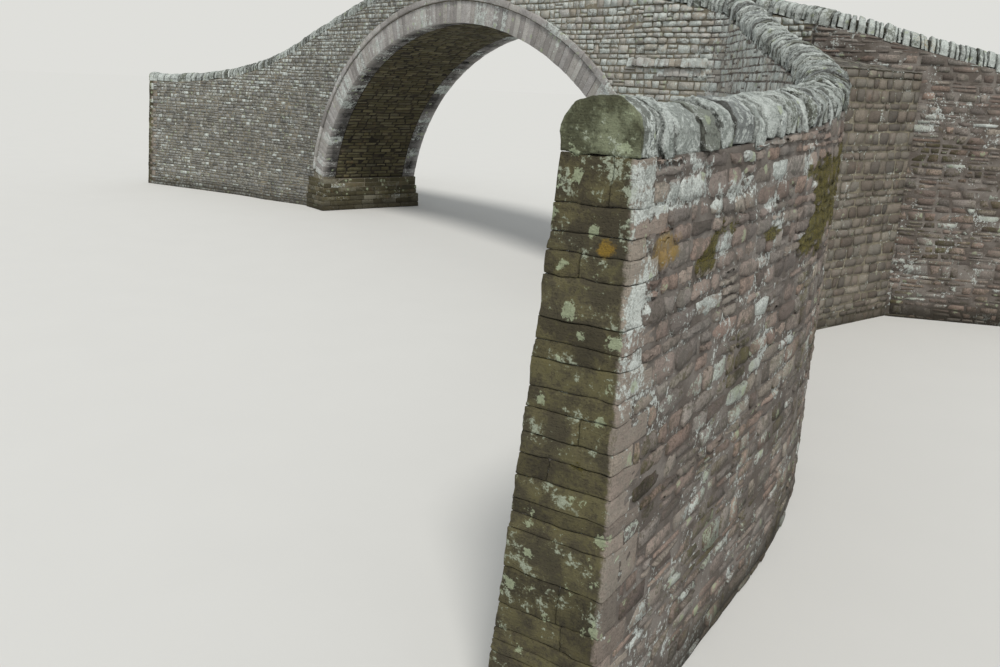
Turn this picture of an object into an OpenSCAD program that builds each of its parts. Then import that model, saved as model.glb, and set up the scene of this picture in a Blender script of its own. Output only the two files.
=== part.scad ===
// Stone packhorse bridge: one elliptical arch, a humped deck between parapets, and
// wing walls that sweep out from each corner under a half-round coping.
// X runs along the bridge, -Y is the face seen first, and Z = 0 is the foot of the walls.

/* [Arch] */
// Clear span between the two springing lines
span = 15100; // [13000:100:17000]
// Rise of the arch above its springing
rise = 4830; // [4200:10:5400]
// Depth of the ellipse's centre below the springing
centre_drop = 1150; // [700:50:1500]
// Height of the springing above the foot
spring_h = 1050; // [800:50:1400]
// Depth of the arch ring along its joints
ring_depth = 520; // [420:10:620]
// Height of the hood mould above the ring
hood_h = 170; // [100:10:220]
// Distance that the hood mould stands out of the face
hood_out = 70; // [30:5:120]
// Number of flat facets round the arch, each about as long as one ring stone
ring_stones = 64; // [50:2:80]

/* [Deck and parapets] */
// Width over the two faces
bridge_w = 3600; // [3000:50:4500]
// Thickness of the spandrel walls, parapets and wing walls
wall_t = 480; // [350:10:550]
// Height of the deck's top above the crown of the ring
crown_cover = 320; // [300:10:450]
// Thickness of the deck's stone layer
deck_t = 150; // [100:10:180]
// Height of the parapets above the deck, coping included
parapet_h = 900; // [750:10:1200]
// Fall of the deck on the near side, per unit of length
near_slope = 0.185; // [0.1:0.005:0.22]
// Fall of the deck on the far side, per unit of length
far_slope = 0.25; // [0.15:0.005:0.27]
// Length over which the hump rounds off at the crown
hump_round = 1200; // [900:50:2000]

/* [Coping] */
// Height of the coping, its half-round top included
coping_h = 330; // [260:10:400]
// Height of the coping's upright sides
coping_side = 130; // [60:10:180]
// Distance that the coping oversails the wall
coping_over = 20; // [5:5:40]
// Length of the dressed stone that ends each coping
end_stone_l = 220; // [160:10:400]
// Distance that the end stone oversails the wall
end_stone_over = 5; // [5:5:40]

/* [Abutments] */
// Length of wall between the springing and the start of the wings
shoulder_l = 1050; // [900:10:1400]
// Length of the stone core behind the start of the wings
core_l = 1900; // [1200:50:2600]
// Width of the ledge that the arch springs from
ledge = 100; // [40:10:160]
// Height of the lower footing course
footing_h = 470; // [350:10:500]
// Distance that the lower footing course stands out
footing_out = 100; // [60:5:150]
// Height of the upper footing course
footing_cap_h = 280; // [150:10:300]
// Distance that the upper footing course stands out
footing_cap_out = 45; // [20:5:55]

/* [Near wings] */
// Radius of the tight bend where the near wings leave the bridge
near_bend_r = 1100; // [1000:50:1600]
// Angle of that bend in degrees
near_bend_a = 40; // [30:1:45]
// Length of the straight after the bend
near_run_1 = 3650; // [3000:50:4200]
// Radius of the long sweep
near_sweep_r = 10800; // [8000:100:14000]
// Angle of the long sweep in degrees
near_sweep_a = 30; // [20:1:35]
// Length of the last straight
near_run_2 = 3360; // [2600:10:4000]
// Height of the coping's top halfway along the near wings
near_mid_z = 4900; // [4600:10:5200]
// Height of the coping's top at the end of the near wings
near_end_z = 4440; // [4100:10:4600]

/* [Far wings] */
// Radius of the bend where the far wings leave the bridge
far_bend_r = 4000; // [3000:100:6000]
// Angle of that bend in degrees
far_bend_a = 12; // [8:1:15]
// Length of the straight after the bend
far_run_1 = 1500; // [1000:50:2000]
// Radius of the long sweep
far_sweep_r = 9000; // [7000:100:12000]
// Angle of the long sweep in degrees
far_sweep_a = 12; // [8:1:16]
// Height of the coping's top halfway along the far wings
far_mid_z = 4600; // [4300:10:4800]
// Height of the coping's top at the end of the far wings
far_end_z = 4240; // [4000:10:4300]

/* [Wing walls] */
// Height gained for each unit that the river face leans back
batter = 11; // [7:0.5:14]
// Length of the squared pier that ends each wing
end_pier_l = 700; // [660:10:1000]

/* [Corbel courses] */
// Height of the upper corbel course's bed
corbel_z = 4880; // [4600:10:5000]
// Height of one corbel course
corbel_h = 180; // [120:10:220]
// Distance that each course oversails the one below it
corbel_out = 45; // [25:5:70]
// Length of the upper corbel course along the face before the bend
corbel_run = 2080; // [1400:20:2200]
// Length by which the lower corbel course is shorter there
corbel_cut = 810; // [200:10:1000]

/* [Hidden] */

half_w = bridge_w / 2;
inner_w = half_w - wall_t;
half_span = span / 2;
wing_start = half_span + shoulder_l;
core_end = wing_start + core_l;
ell_b = rise + centre_drop;
ell_a = half_span / sqrt(1 - pow(centre_drop / ell_b, 2));
ell_z = spring_h - centre_drop;
spring_angle = asin(centre_drop / ell_b);
stone_angle = (180 - 2 * spring_angle) / ring_stones;
deck_crown = spring_h + rise + ring_depth + crown_cover;
reach = 4 * wing_start;
// Facets of the deck's hump on each side, of a coping's rounded top, of the wings' stretches
// and of a wing's leaning face from its foot to its top
hump_steps = 18;
round_steps = 10;
bend_steps = 8;
run_steps = 5;
sweep_steps = 12;
lift_steps = 4;

// The deck's line over the hump, as [along the bridge, height]
hump_pairs = [for (x = hump_stations(core_end)) [x, deck_crown - hump_drop(x)]];

near_wing = [near_bend_r, near_bend_a, near_run_1, near_sweep_r, near_sweep_a, near_run_2];
far_turn = far_bend_a + far_sweep_a;
near_turn = near_bend_a + near_sweep_a;
near_reach = wing_x(near_wing, wing_length(near_wing)) + wall_t * sin(near_turn);
far_stub = [far_bend_r, far_bend_a, far_run_1, far_sweep_r, far_sweep_a, 0];
far_stub_reach = wing_x(far_stub, wing_length(far_stub)) + wall_t * sin(far_turn);
// The last straight of the far wings ends level with the near ones, so the length is centred
far_run_2 = (near_reach - far_stub_reach) / cos(far_turn);
far_wing = [far_bend_r, far_bend_a, far_run_1, far_sweep_r, far_sweep_a, far_run_2];

near_heights = [top_line(wing_start), near_mid_z, near_end_z];
far_heights = [top_line(-wing_start), far_mid_z, far_end_z];

face_stone = [0.50, 0.48, 0.43];
ring_stone = [0.62, 0.60, 0.58];
coping_stone = [0.60, 0.62, 0.54];
base_stone = [0.42, 0.38, 0.30];
wing_stone = [0.52, 0.45, 0.40];
pier_stone = [0.45, 0.43, 0.35];
deck_stone = [0.40, 0.39, 0.37];
core_stone = [0.36, 0.33, 0.29];

// The arch: points on an ellipse, moved out along its normal

function arch_point(k, out) =
    let (t = spring_angle + k * stone_angle)
    let (n = [cos(t) / ell_a, sin(t) / ell_b])
    [ell_a * cos(t), ell_z + ell_b * sin(t)] + out * n / norm(n);

function arch_band(out_0, out_1, k_0, k_1) = concat(
    [for (k = [k_0:k_1]) arch_point(k, out_0)],
    [for (k = [k_1:-1:k_0]) arch_point(k, out_1)]
);

// The hump: the deck falls away from the crown to a steady slope on each side

function hump_drop(x) =
    (x < 0 ? far_slope : near_slope) * (sqrt(x * x + hump_round * hump_round) - hump_round);

function hump_stations(end) =
    let (inside = [for (k = [0:hump_steps]) core_end * pow(k / hump_steps, 1.5)])
    let (half = concat([for (x = inside) if (x < end) x], [end]))
    concat([for (k = [len(half) - 1:-1:1]) -half[k]], half);

function deck_line(x) = lookup(x, hump_pairs);

function top_line(x) = deck_line(x) + parapet_h;

function band_under_deck(down_0, down_1, end) = concat(
    [for (x = hump_stations(end)) [x, deck_line(x) - down_0]],
    [for (x = hump_stations(end)) [-x, deck_line(-x) - down_1]]
);

// The wings: a bend, a straight, a long sweep and a last straight, in that order

function arc_length(r, a) = r * a * PI / 180;

function wing_length(w) = arc_length(w[0], w[1]) + w[2] + arc_length(w[3], w[4]) + w[5];

// A point of a wing's river face as [along the bridge, out from the face, heading]
function wing_point(w, s) =
    let (bend_end = arc_length(w[0], w[1]))
    let (run_end = bend_end + w[2])
    let (sweep_end = run_end + arc_length(w[3], w[4]))
    let (turn = w[1] + w[4])
    let (p1 = w[0] * [sin(w[1]), 1 - cos(w[1])])
    let (p2 = p1 + w[2] * [cos(w[1]), sin(w[1])])
    let (p3 = p2 + w[3] * [sin(turn) - sin(w[1]), cos(w[1]) - cos(turn)])
    s <= 0 ? [s, 0, 0]
    : s <= bend_end ? let (h = s / w[0] * 180 / PI) [w[0] * sin(h), w[0] * (1 - cos(h)), h]
    : s <= run_end ? let (q = p1 + (s - bend_end) * [cos(w[1]), sin(w[1])]) [q[0], q[1], w[1]]
    : s <= sweep_end ? let (h = w[1] + (s - run_end) / w[3] * 180 / PI)
        let (q = p2 + w[3] * [sin(h) - sin(w[1]), cos(w[1]) - cos(h)]) [q[0], q[1], h]
    : let (q = p3 + (s - sweep_end) * [cos(turn), sin(turn)]) [q[0], q[1], turn];

function wing_x(w, s) = wing_start + wing_point(w, s)[0];

// A point beside the path: towards the road by `in`, at height z
function beside(w, s, in, z) =
    let (p = wing_point(w, s))
    [wing_start + p[0] + in * sin(p[2]), -half_w - p[1] + in * cos(p[2]), z];

function steps(from, to, count) = [for (k = [0:count - 1]) from + (to - from) * k / count];

function bend_stations(w) =
    let (bend_end = arc_length(w[0], w[1]))
    concat(steps(0, bend_end, bend_steps), steps(bend_end, bend_end + w[2], run_steps), [bend_end + w[2]]);

function sweep_stations(w, end) =
    let (run_end = arc_length(w[0], w[1]) + w[2])
    let (sweep_end = run_end + arc_length(w[3], w[4]))
    concat(steps(run_end, sweep_end, sweep_steps), steps(sweep_end, end, run_steps), [end]);

function wing_stations(w, end) =
    let (first = bend_stations(w))
    concat([for (k = [0:len(first) - 2]) first[k]], sweep_stations(w, end));

// The coping's top follows a parabola through three heights, then runs level over the pier
function wing_top(w, heights, s) =
    let (t = min(1, max(0, s / (wing_length(w) - end_pier_l))))
    (1 - t) * (1 - 2 * t) * heights[0] + 4 * t * (1 - t) * heights[1] + t * (2 * t - 1) * heights[2];

// The lean grows from nothing at the bridge's upright face to the full batter after the first straight
function lean(w, s) = min(1, max(0, s) / (arc_length(w[0], w[1]) + w[2])) / batter;

function wall_ring(w, heights, s) =
    let (z = wing_top(w, heights, s) - coping_h)
    concat(
        [beside(w, s, wall_t, 0), beside(w, s, wall_t, z)],
        [for (k = [lift_steps:-1:0]) let (up = z * k / lift_steps) beside(w, s, -lean(w, s) * (z - up), up)]
    );

// A coping's section that oversails the wall, as [across from the river face, up from its bed]
function coping_section(over) = concat(
    [[-over, 0]],
    [for (k = [0:round_steps]) let (a = 180 - 180 * k / round_steps)
        [wall_t / 2 + (wall_t / 2 + over) * cos(a), coping_side + (coping_h - coping_side) * sin(a)]],
    [[wall_t + over, 0]]
);

// A closed skin over rings of points; a fan of triangles caps each end
module skin(rings) {
    n = len(rings[0]);
    last = (len(rings) - 1) * n;
    corners = [for (ring = rings) each ring];
    sides = [for (i = [0:len(rings) - 2], j = [0:n - 1])
        let (a = i * n + j, b = i * n + (j + 1) % n)
        each [[a, b, b + n], [a, b + n, a + n]]];
    near_cap = [for (j = [1:n - 2]) [0, j + 1, j]];
    far_cap = [for (j = [1:n - 2]) [last, last + j, last + j + 1]];
    polyhedron(corners, concat(near_cap, sides, far_cap));
}

module across(y_0, y_1) {
    translate([0, y_1, 0]) rotate([90, 0, 0]) linear_extrude(y_1 - y_0) children();
}

module far_side() {
    mirror([1, 0, 0]) children();
}

module back_side() {
    mirror([0, 1, 0]) children();
}

module above_springing() {
    translate([-reach, spring_h]) square([2 * reach, reach]);
}

module near_half() {
    square([reach, reach]);
}

// Everything under the arch's extrados
module under_arch() {
    polygon([for (k = [-3:ring_stones + 3]) arch_point(k, ring_depth)]);
}

// Ring stones from number k_0 to k_1, with level beds at the springing
module ring_stretch(k_0, k_1) {
    intersection() {
        polygon(arch_band(0, ring_depth, k_0 == 0 ? -3 : k_0, k_1 == ring_stones ? k_1 + 3 : k_1));
        above_springing();
    }
}

module vault(part_0, part_1) {
    across(-inner_w, inner_w) ring_stretch(round(part_0 * ring_stones), round(part_1 * ring_stones));
}

module ring_face() {
    across(-half_w, -inner_w) ring_stretch(0, ring_stones);
}

module hood() {
    across(-half_w - hood_out, -half_w) intersection() {
        polygon(arch_band(ring_depth, ring_depth + hood_h, -3, ring_stones + 3));
        above_springing();
    }
}

// The plan between the road faces of a pair of wings, from their start to the back of the core
module core_plan(w) {
    sides = [for (s = wing_stations(w, wing_length(w))) beside(w, s, wall_t, 0)];
    intersection() {
        polygon(concat(
            [for (p = sides) [p[0], p[1]]],
            [for (k = [len(sides) - 1:-1:0]) [sides[k][0], -sides[k][1]]]
        ));
        translate([wing_start, -reach]) square([core_l, 2 * reach]);
    }
}

module roadway_plan() {
    union() {
        translate([-wing_start, -inner_w]) square([2 * wing_start, 2 * inner_w]);
        core_plan(near_wing);
        mirror([1, 0]) core_plan(far_wing);
    }
}

module abutment(w) {
    face = half_span - ledge;
    linear_extrude(spring_h) union() {
        translate([face, -half_w]) square([wing_start - face, bridge_w]);
        core_plan(w);
    }
}

module footing_course(z, h, out) {
    face = half_span - ledge;
    translate([0, 0, z]) linear_extrude(h) difference() {
        translate([face - out, -half_w - out]) square([wing_start - face, bridge_w + 2 * out]);
        translate([face, -half_w]) square([wing_start - face, bridge_w]);
    }
}

module footing() {
    union() {
        footing_course(0, footing_h, footing_out);
        footing_course(footing_h, footing_cap_h, footing_cap_out);
    }
}

module spandrel_near() {
    across(-half_w, -inner_w) difference() {
        intersection() {
            polygon(band_under_deck(0, reach, wing_start));
            above_springing();
            near_half();
        }
        under_arch();
    }
}

module spandrel_far() {
    across(-half_w, -inner_w) difference() {
        intersection() {
            polygon(band_under_deck(0, reach, wing_start));
            above_springing();
            mirror([1, 0]) near_half();
        }
        under_arch();
    }
}

module core_half(side) {
    intersection() {
        across(-reach, reach) difference() {
            intersection() {
                polygon(band_under_deck(deck_t, reach, core_end));
                above_springing();
                mirror([side, 0]) near_half();
            }
            under_arch();
        }
        linear_extrude(reach) roadway_plan();
    }
}

module deck_layer() {
    intersection() {
        across(-reach, reach) polygon(band_under_deck(0, deck_t, core_end));
        linear_extrude(reach) roadway_plan();
    }
}

module parapet() {
    across(-half_w, -inner_w) polygon(concat(
        [for (x = hump_stations(wing_start)) [x, top_line(x) - coping_h]],
        [for (x = hump_stations(wing_start)) [-x, deck_line(-x)]]
    ));
}

module parapet_coping() {
    skin([for (x = hump_stations(wing_start))
        [for (p = coping_section(coping_over)) [x, p[0] - half_w, top_line(x) - coping_h + p[1]]]]);
}

module wall_run(w, heights, stations) {
    skin([for (s = stations) wall_ring(w, heights, s)]);
}

module coping_run(w, heights) {
    skin([for (s = wing_stations(w, wing_length(w) - end_stone_l))
        [for (p = coping_section(coping_over)) beside(w, s, p[0], wing_top(w, heights, s) - coping_h + p[1])]]);
}

// Stands a section, drawn as [in from the river face, up], on the last stretch of a wing
module at_wing_end(w, length) {
    s = wing_length(w) - length;
    translate(beside(w, s, 0, 0)) rotate([0, 0, -wing_point(w, s)[2]]) rotate([90, 0, 90])
        linear_extrude(length) children();
}

module end_pier(w, heights) {
    z = heights[2] - coping_h;
    at_wing_end(w, end_pier_l) polygon([[-z / batter, 0], [wall_t, 0], [wall_t, z], [0, z]]);
}

module end_stone(w, heights) {
    at_wing_end(w, end_stone_l) translate([0, heights[2] - coping_h])
        polygon(coping_section(end_stone_over));
}

// One corbel course, up to the start of the wing: it oversails at its bed and dies back at its top
module corbel(z, out_bed, out_top, run) {
    translate([wing_start - run, -half_w, z]) rotate([90, 0, 90])
        linear_extrude(run) polygon([[-out_bed, 0], [0, 0], [0, corbel_h], [-out_top, corbel_h]]);
}

module abutment_far() { color(base_stone) far_side() abutment(far_wing); }
module abutment_near() { color(base_stone) abutment(near_wing); }
module footing_far() { color(base_stone) far_side() footing(); }
module footing_near() { color(base_stone) footing(); }
module vault_springer_near() { color(ring_stone) vault(0, 0.2); }
module vault_haunch_near() { color(ring_stone) vault(0.2, 0.4); }
module vault_crown() { color(ring_stone) vault(0.4, 0.6); }
module vault_haunch_far() { color(ring_stone) vault(0.6, 0.8); }
module vault_springer_far() { color(ring_stone) vault(0.8, 1); }
module arch_ring_front() { color(ring_stone) ring_face(); }
module arch_ring_back() { color(ring_stone) back_side() ring_face(); }
module hood_mould_front() { color(ring_stone) hood(); }
module hood_mould_back() { color(ring_stone) back_side() hood(); }
module spandrel_front_far() { color(face_stone) spandrel_far(); }
module spandrel_front_near() { color(face_stone) spandrel_near(); }
module spandrel_back_far() { color(face_stone) back_side() spandrel_far(); }
module spandrel_back_near() { color(face_stone) back_side() spandrel_near(); }
module core_far() { color(core_stone) core_half(1); }
module core_near() { color(core_stone) core_half(0); }
module deck() { color(deck_stone) deck_layer(); }
module parapet_front() { color(face_stone) parapet(); }
module parapet_back() { color(face_stone) back_side() parapet(); }
module coping_front() { color(coping_stone) parapet_coping(); }
module coping_back() { color(coping_stone) back_side() parapet_coping(); }

module shoulder_front_near() {
    color(wing_stone) wall_run(near_wing, near_heights, bend_stations(near_wing));
}

module shoulder_back_near() {
    back_side() shoulder_front_near();
}

module wing_front_near() {
    color(wing_stone)
        wall_run(near_wing, near_heights, sweep_stations(near_wing, wing_length(near_wing) - end_pier_l));
}

module wing_back_near() {
    back_side() wing_front_near();
}

module wing_front_far() {
    color(face_stone) far_side()
        wall_run(far_wing, far_heights, wing_stations(far_wing, wing_length(far_wing) - end_pier_l));
}

module wing_back_far() {
    back_side() wing_front_far();
}

module end_pier_front_near() { color(pier_stone) end_pier(near_wing, near_heights); }
module end_pier_back_near() { back_side() end_pier_front_near(); }
module end_pier_front_far() { color(pier_stone) far_side() end_pier(far_wing, far_heights); }
module end_pier_back_far() { back_side() end_pier_front_far(); }
module wing_coping_front_near() { color(coping_stone) coping_run(near_wing, near_heights); }
module wing_coping_back_near() { back_side() wing_coping_front_near(); }
module wing_coping_front_far() { color(coping_stone) far_side() coping_run(far_wing, far_heights); }
module wing_coping_back_far() { back_side() wing_coping_front_far(); }
module end_stone_front_near() { color(coping_stone) end_stone(near_wing, near_heights); }
module end_stone_back_near() { back_side() end_stone_front_near(); }
module end_stone_front_far() { color(coping_stone) far_side() end_stone(far_wing, far_heights); }
module end_stone_back_far() { back_side() end_stone_front_far(); }

module corbel_courses() {
    color(wing_stone) union() {
        corbel(corbel_z, 2 * corbel_out, corbel_out, corbel_run);
        corbel(corbel_z - corbel_h, corbel_out, corbel_out, corbel_run - corbel_cut);
    }
}

abutment_far();
abutment_near();
footing_far();
footing_near();
vault_springer_far();
vault_haunch_far();
vault_crown();
vault_haunch_near();
vault_springer_near();
arch_ring_front();
arch_ring_back();
hood_mould_front();
hood_mould_back();
spandrel_front_far();
spandrel_front_near();
spandrel_back_far();
spandrel_back_near();
core_far();
core_near();
deck();
parapet_front();
parapet_back();
coping_front();
coping_back();
shoulder_front_near();
shoulder_back_near();
wing_front_near();
wing_back_near();
wing_front_far();
wing_back_far();
end_pier_front_near();
end_pier_back_near();
end_pier_front_far();
end_pier_back_far();
wing_coping_front_near();
wing_coping_back_near();
wing_coping_front_far();
wing_coping_back_far();
end_stone_front_near();
end_stone_back_near();
end_stone_front_far();
end_stone_back_far();
corbel_courses();
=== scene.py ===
import math
from functools import cache, partial

import bpy
import numpy as np
from bpy.props import FloatProperty, FloatVectorProperty, PointerProperty
from mathutils import Matrix, Vector


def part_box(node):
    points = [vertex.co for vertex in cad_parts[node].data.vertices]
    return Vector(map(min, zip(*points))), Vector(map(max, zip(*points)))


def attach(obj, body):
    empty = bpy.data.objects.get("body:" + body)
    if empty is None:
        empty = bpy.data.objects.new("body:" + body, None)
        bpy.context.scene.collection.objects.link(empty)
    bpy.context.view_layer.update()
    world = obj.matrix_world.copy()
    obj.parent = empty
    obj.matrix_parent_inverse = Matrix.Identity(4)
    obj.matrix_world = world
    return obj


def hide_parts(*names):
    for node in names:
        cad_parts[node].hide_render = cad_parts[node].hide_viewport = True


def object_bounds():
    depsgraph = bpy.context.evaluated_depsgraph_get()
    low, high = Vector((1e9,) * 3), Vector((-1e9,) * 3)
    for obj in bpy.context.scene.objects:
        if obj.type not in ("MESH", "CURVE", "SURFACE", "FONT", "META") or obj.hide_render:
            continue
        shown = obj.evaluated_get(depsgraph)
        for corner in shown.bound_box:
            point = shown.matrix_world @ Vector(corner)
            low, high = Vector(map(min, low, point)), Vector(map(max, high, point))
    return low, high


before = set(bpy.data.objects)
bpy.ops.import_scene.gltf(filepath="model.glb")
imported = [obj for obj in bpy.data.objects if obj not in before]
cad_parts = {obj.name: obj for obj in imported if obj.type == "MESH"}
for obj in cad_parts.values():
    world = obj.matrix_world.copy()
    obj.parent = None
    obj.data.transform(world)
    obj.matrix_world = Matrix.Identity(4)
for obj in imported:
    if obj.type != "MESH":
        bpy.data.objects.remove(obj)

bl_info = {
    "name": "Stone bridge finish",
    "version": (1, 0, 0),
    "blender": (4, 5, 0),
    "location": "View3D > Sidebar > Bridge",
    "description": "Lays rubble, dressed stones and copings over a packhorse bridge, with their finishes",
    "category": "Object",
}

CAD_BOX = [list(corner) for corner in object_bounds()]

# How far the stones stay inside the box of the solids, and above its foot
SKIN = 0.001
BOX_LOW = np.array([*CAD_BOX[0][:2], 0]) + SKIN
BOX_HIGH = np.array(CAD_BOX[1]) - SKIN
TAU = 2 * math.pi


def low(node, axis):
    """The lowest coordinate of a solid along an axis."""
    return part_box(node)[0][axis]


def high(node, axis):
    """The highest coordinate of a solid along an axis."""
    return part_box(node)[1][axis]


# Sizes of the frame that the stones follow, in metres
HALF_W = -low("arch_ring_front", 1)
INNER_W = -high("arch_ring_front", 1)
WALL_T = HALF_W - INNER_W
WING_START = high("parapet_front", 0)
CORE_END = high("core_near", 0)
SPRING_Z = low("arch_ring_front", 2)
DECK_CROWN = high("deck", 2)
CREST_CROWN = high("coping_front", 2)
SPAN = 15.1
RISE = 4.83
CENTRE_DROP = 1.15
RING_DEPTH = high("arch_ring_front", 2) - SPRING_Z - RISE
HOOD_H = high("hood_mould_front", 2) - high("arch_ring_front", 2)
HOOD_OUT = -low("hood_mould_front", 1) - HALF_W
NEAR_SLOPE = 0.185
FAR_SLOPE = 0.25
HUMP_ROUND = 1.2
COPING_H = 0.33
COPING_SIDE = 0.13
COPING_R = WALL_T / 2 + 0.02
END_STONE_L = 0.22
END_STONE_R = WALL_T / 2 + 0.005
END_PIER_L = 0.7
BATTER = 11
LEDGE = 0.1
CORBEL_H = 0.18
CORBEL_Z = low("corbel_courses", 2) + CORBEL_H
CORBEL_OUT = 0.045
CORBEL_RUN = 2.08
CORBEL_CUT = 0.81

# How the stones sit on the solids: their gap to an edge, how deep their rims are sunk, and half a joint
CLEAR = 0.004
SUNK = 0.02
HALF_JOINT = 0.002

# The camera's place, its yaw, pitch and roll in degrees, and its lens in millimetres
CAMERA_AT = (20.344, -15.502, 4.478)
CAMERA_TURN = (52.3215, 15.6597, 2.5826)
LENS = 32.4


def hump(x, slope):
    """Fall from the crown at x, along a hyperbola: slope times (sqrt(x^2 + r^2) - r)."""
    return slope * (np.sqrt(x * x + HUMP_ROUND**2) - HUMP_ROUND)


def deck_height(x):
    """Height of the deck at x, with a slope for each side."""
    return DECK_CROWN - hump(x, np.where(x < 0, FAR_SLOPE, NEAR_SLOPE))


def smooth(value, start, stop):
    """Rises from 0 to 1 between two values, level at both ends: t^2 (3 - 2t)."""
    t = np.clip((value - start) / (stop - start), 0, 1)
    return t * t * (3 - 2 * t)


def bell(value, centre, width):
    """1 at the centre, falling away to both sides: exp(-((value - centre) / width)^2)."""
    return np.exp(-(((value - centre) / width) ** 2))


def ripple(points, length, seed):
    """Soft noise, mostly from -1 to 1.

    It is a third of the sum of five sines, of about one wavelength, along seeded directions.
    """
    rng = np.random.default_rng(seed)
    waves = rng.normal(0, TAU / length / math.sqrt(3), (5, points.shape[-1]))
    phases = rng.uniform(0, TAU, 5)
    return sum(np.sin(points @ wave + phase) for wave, phase in zip(waves, phases)) / 3


class Arch:
    """An ellipse whose points move out along its normal, measured by the length along its intrados."""

    def __init__(self, past=0.12):
        self.b = RISE + CENTRE_DROP
        self.a = SPAN / 2 / math.sqrt(1 - (CENTRE_DROP / self.b) ** 2)
        self.z = SPRING_Z - CENTRE_DROP
        spring = math.asin(CENTRE_DROP / self.b)
        self.turns = np.linspace(spring - past, math.pi - spring + past, 4001)
        x, z = self.at(self.turns, 0)
        self.lengths = np.concatenate([[0], np.cumsum(np.hypot(np.diff(x), np.diff(z)))])
        self.lengths -= np.interp(spring, self.turns, self.lengths)
        self.total = float(np.interp(math.pi - spring, self.turns, self.lengths))

    def at(self, turn, out):
        """x and z at an angle of the ellipse: (a cos t, b sin t) plus `out` along the normal."""
        nx, nz = np.cos(turn) / self.a, np.sin(turn) / self.b
        size = np.hypot(nx, nz)
        return self.a * np.cos(turn) + out * nx / size, self.z + self.b * np.sin(turn) + out * nz / size

    def along(self, length, out):
        """x and z at a length from the near springing, moved out along the normal, above the springing."""
        x, z = self.at(np.interp(length, self.lengths, self.turns), out)
        return x, np.maximum(z, SPRING_Z + CLEAR)

    def push_out(self, x, z, out):
        """Moves points that lie inside the ellipse grown by `out` onto it; also says which lay inside."""
        a, b = self.a + out, self.b + out
        inside = (x / a) ** 2 + ((z - self.z) / b) ** 2 < 1
        turn = np.arctan2((z - self.z) / b, x / a)
        return np.where(inside, a * np.cos(turn), x), np.where(inside, self.z + b * np.sin(turn), z), inside

    def cuts(self, rng, draws, shortest, longest, before, after):
        """Joints at random lengths from before one springing to after the other."""
        cuts = np.cumsum(rng.uniform(shortest, longest, draws)) - before
        return cuts[cuts < self.total + after]


def course_levels(seed, shortest, tallest, exact, top=7.7):
    """Beds of courses from 0 to past the top, scaled so that one lies at the exact height."""
    rng = np.random.default_rng(seed)
    levels = np.concatenate([[0], np.cumsum(rng.uniform(shortest, tallest, int(top / shortest) + 2))])
    levels = levels * exact / levels[np.abs(levels - exact).argmin()]
    return levels[levels < top + tallest]


def pier_courses(levels):
    """Blocks of an end pier, one or two courses tall: first course, course past the last, reach back."""
    rng = np.random.default_rng(31)
    found, k = [], 0
    while k < len(levels) - 1:
        pair = rng.random() < 0.4 and k + 2 < len(levels) and levels[k + 2] - levels[k] < 0.31
        found.append((k, k + 2 if pair else k + 1, (0.25, 0.44)[len(found) % 2] + rng.uniform(-0.05, 0.05)))
        k = found[-1][1]
    return found


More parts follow.
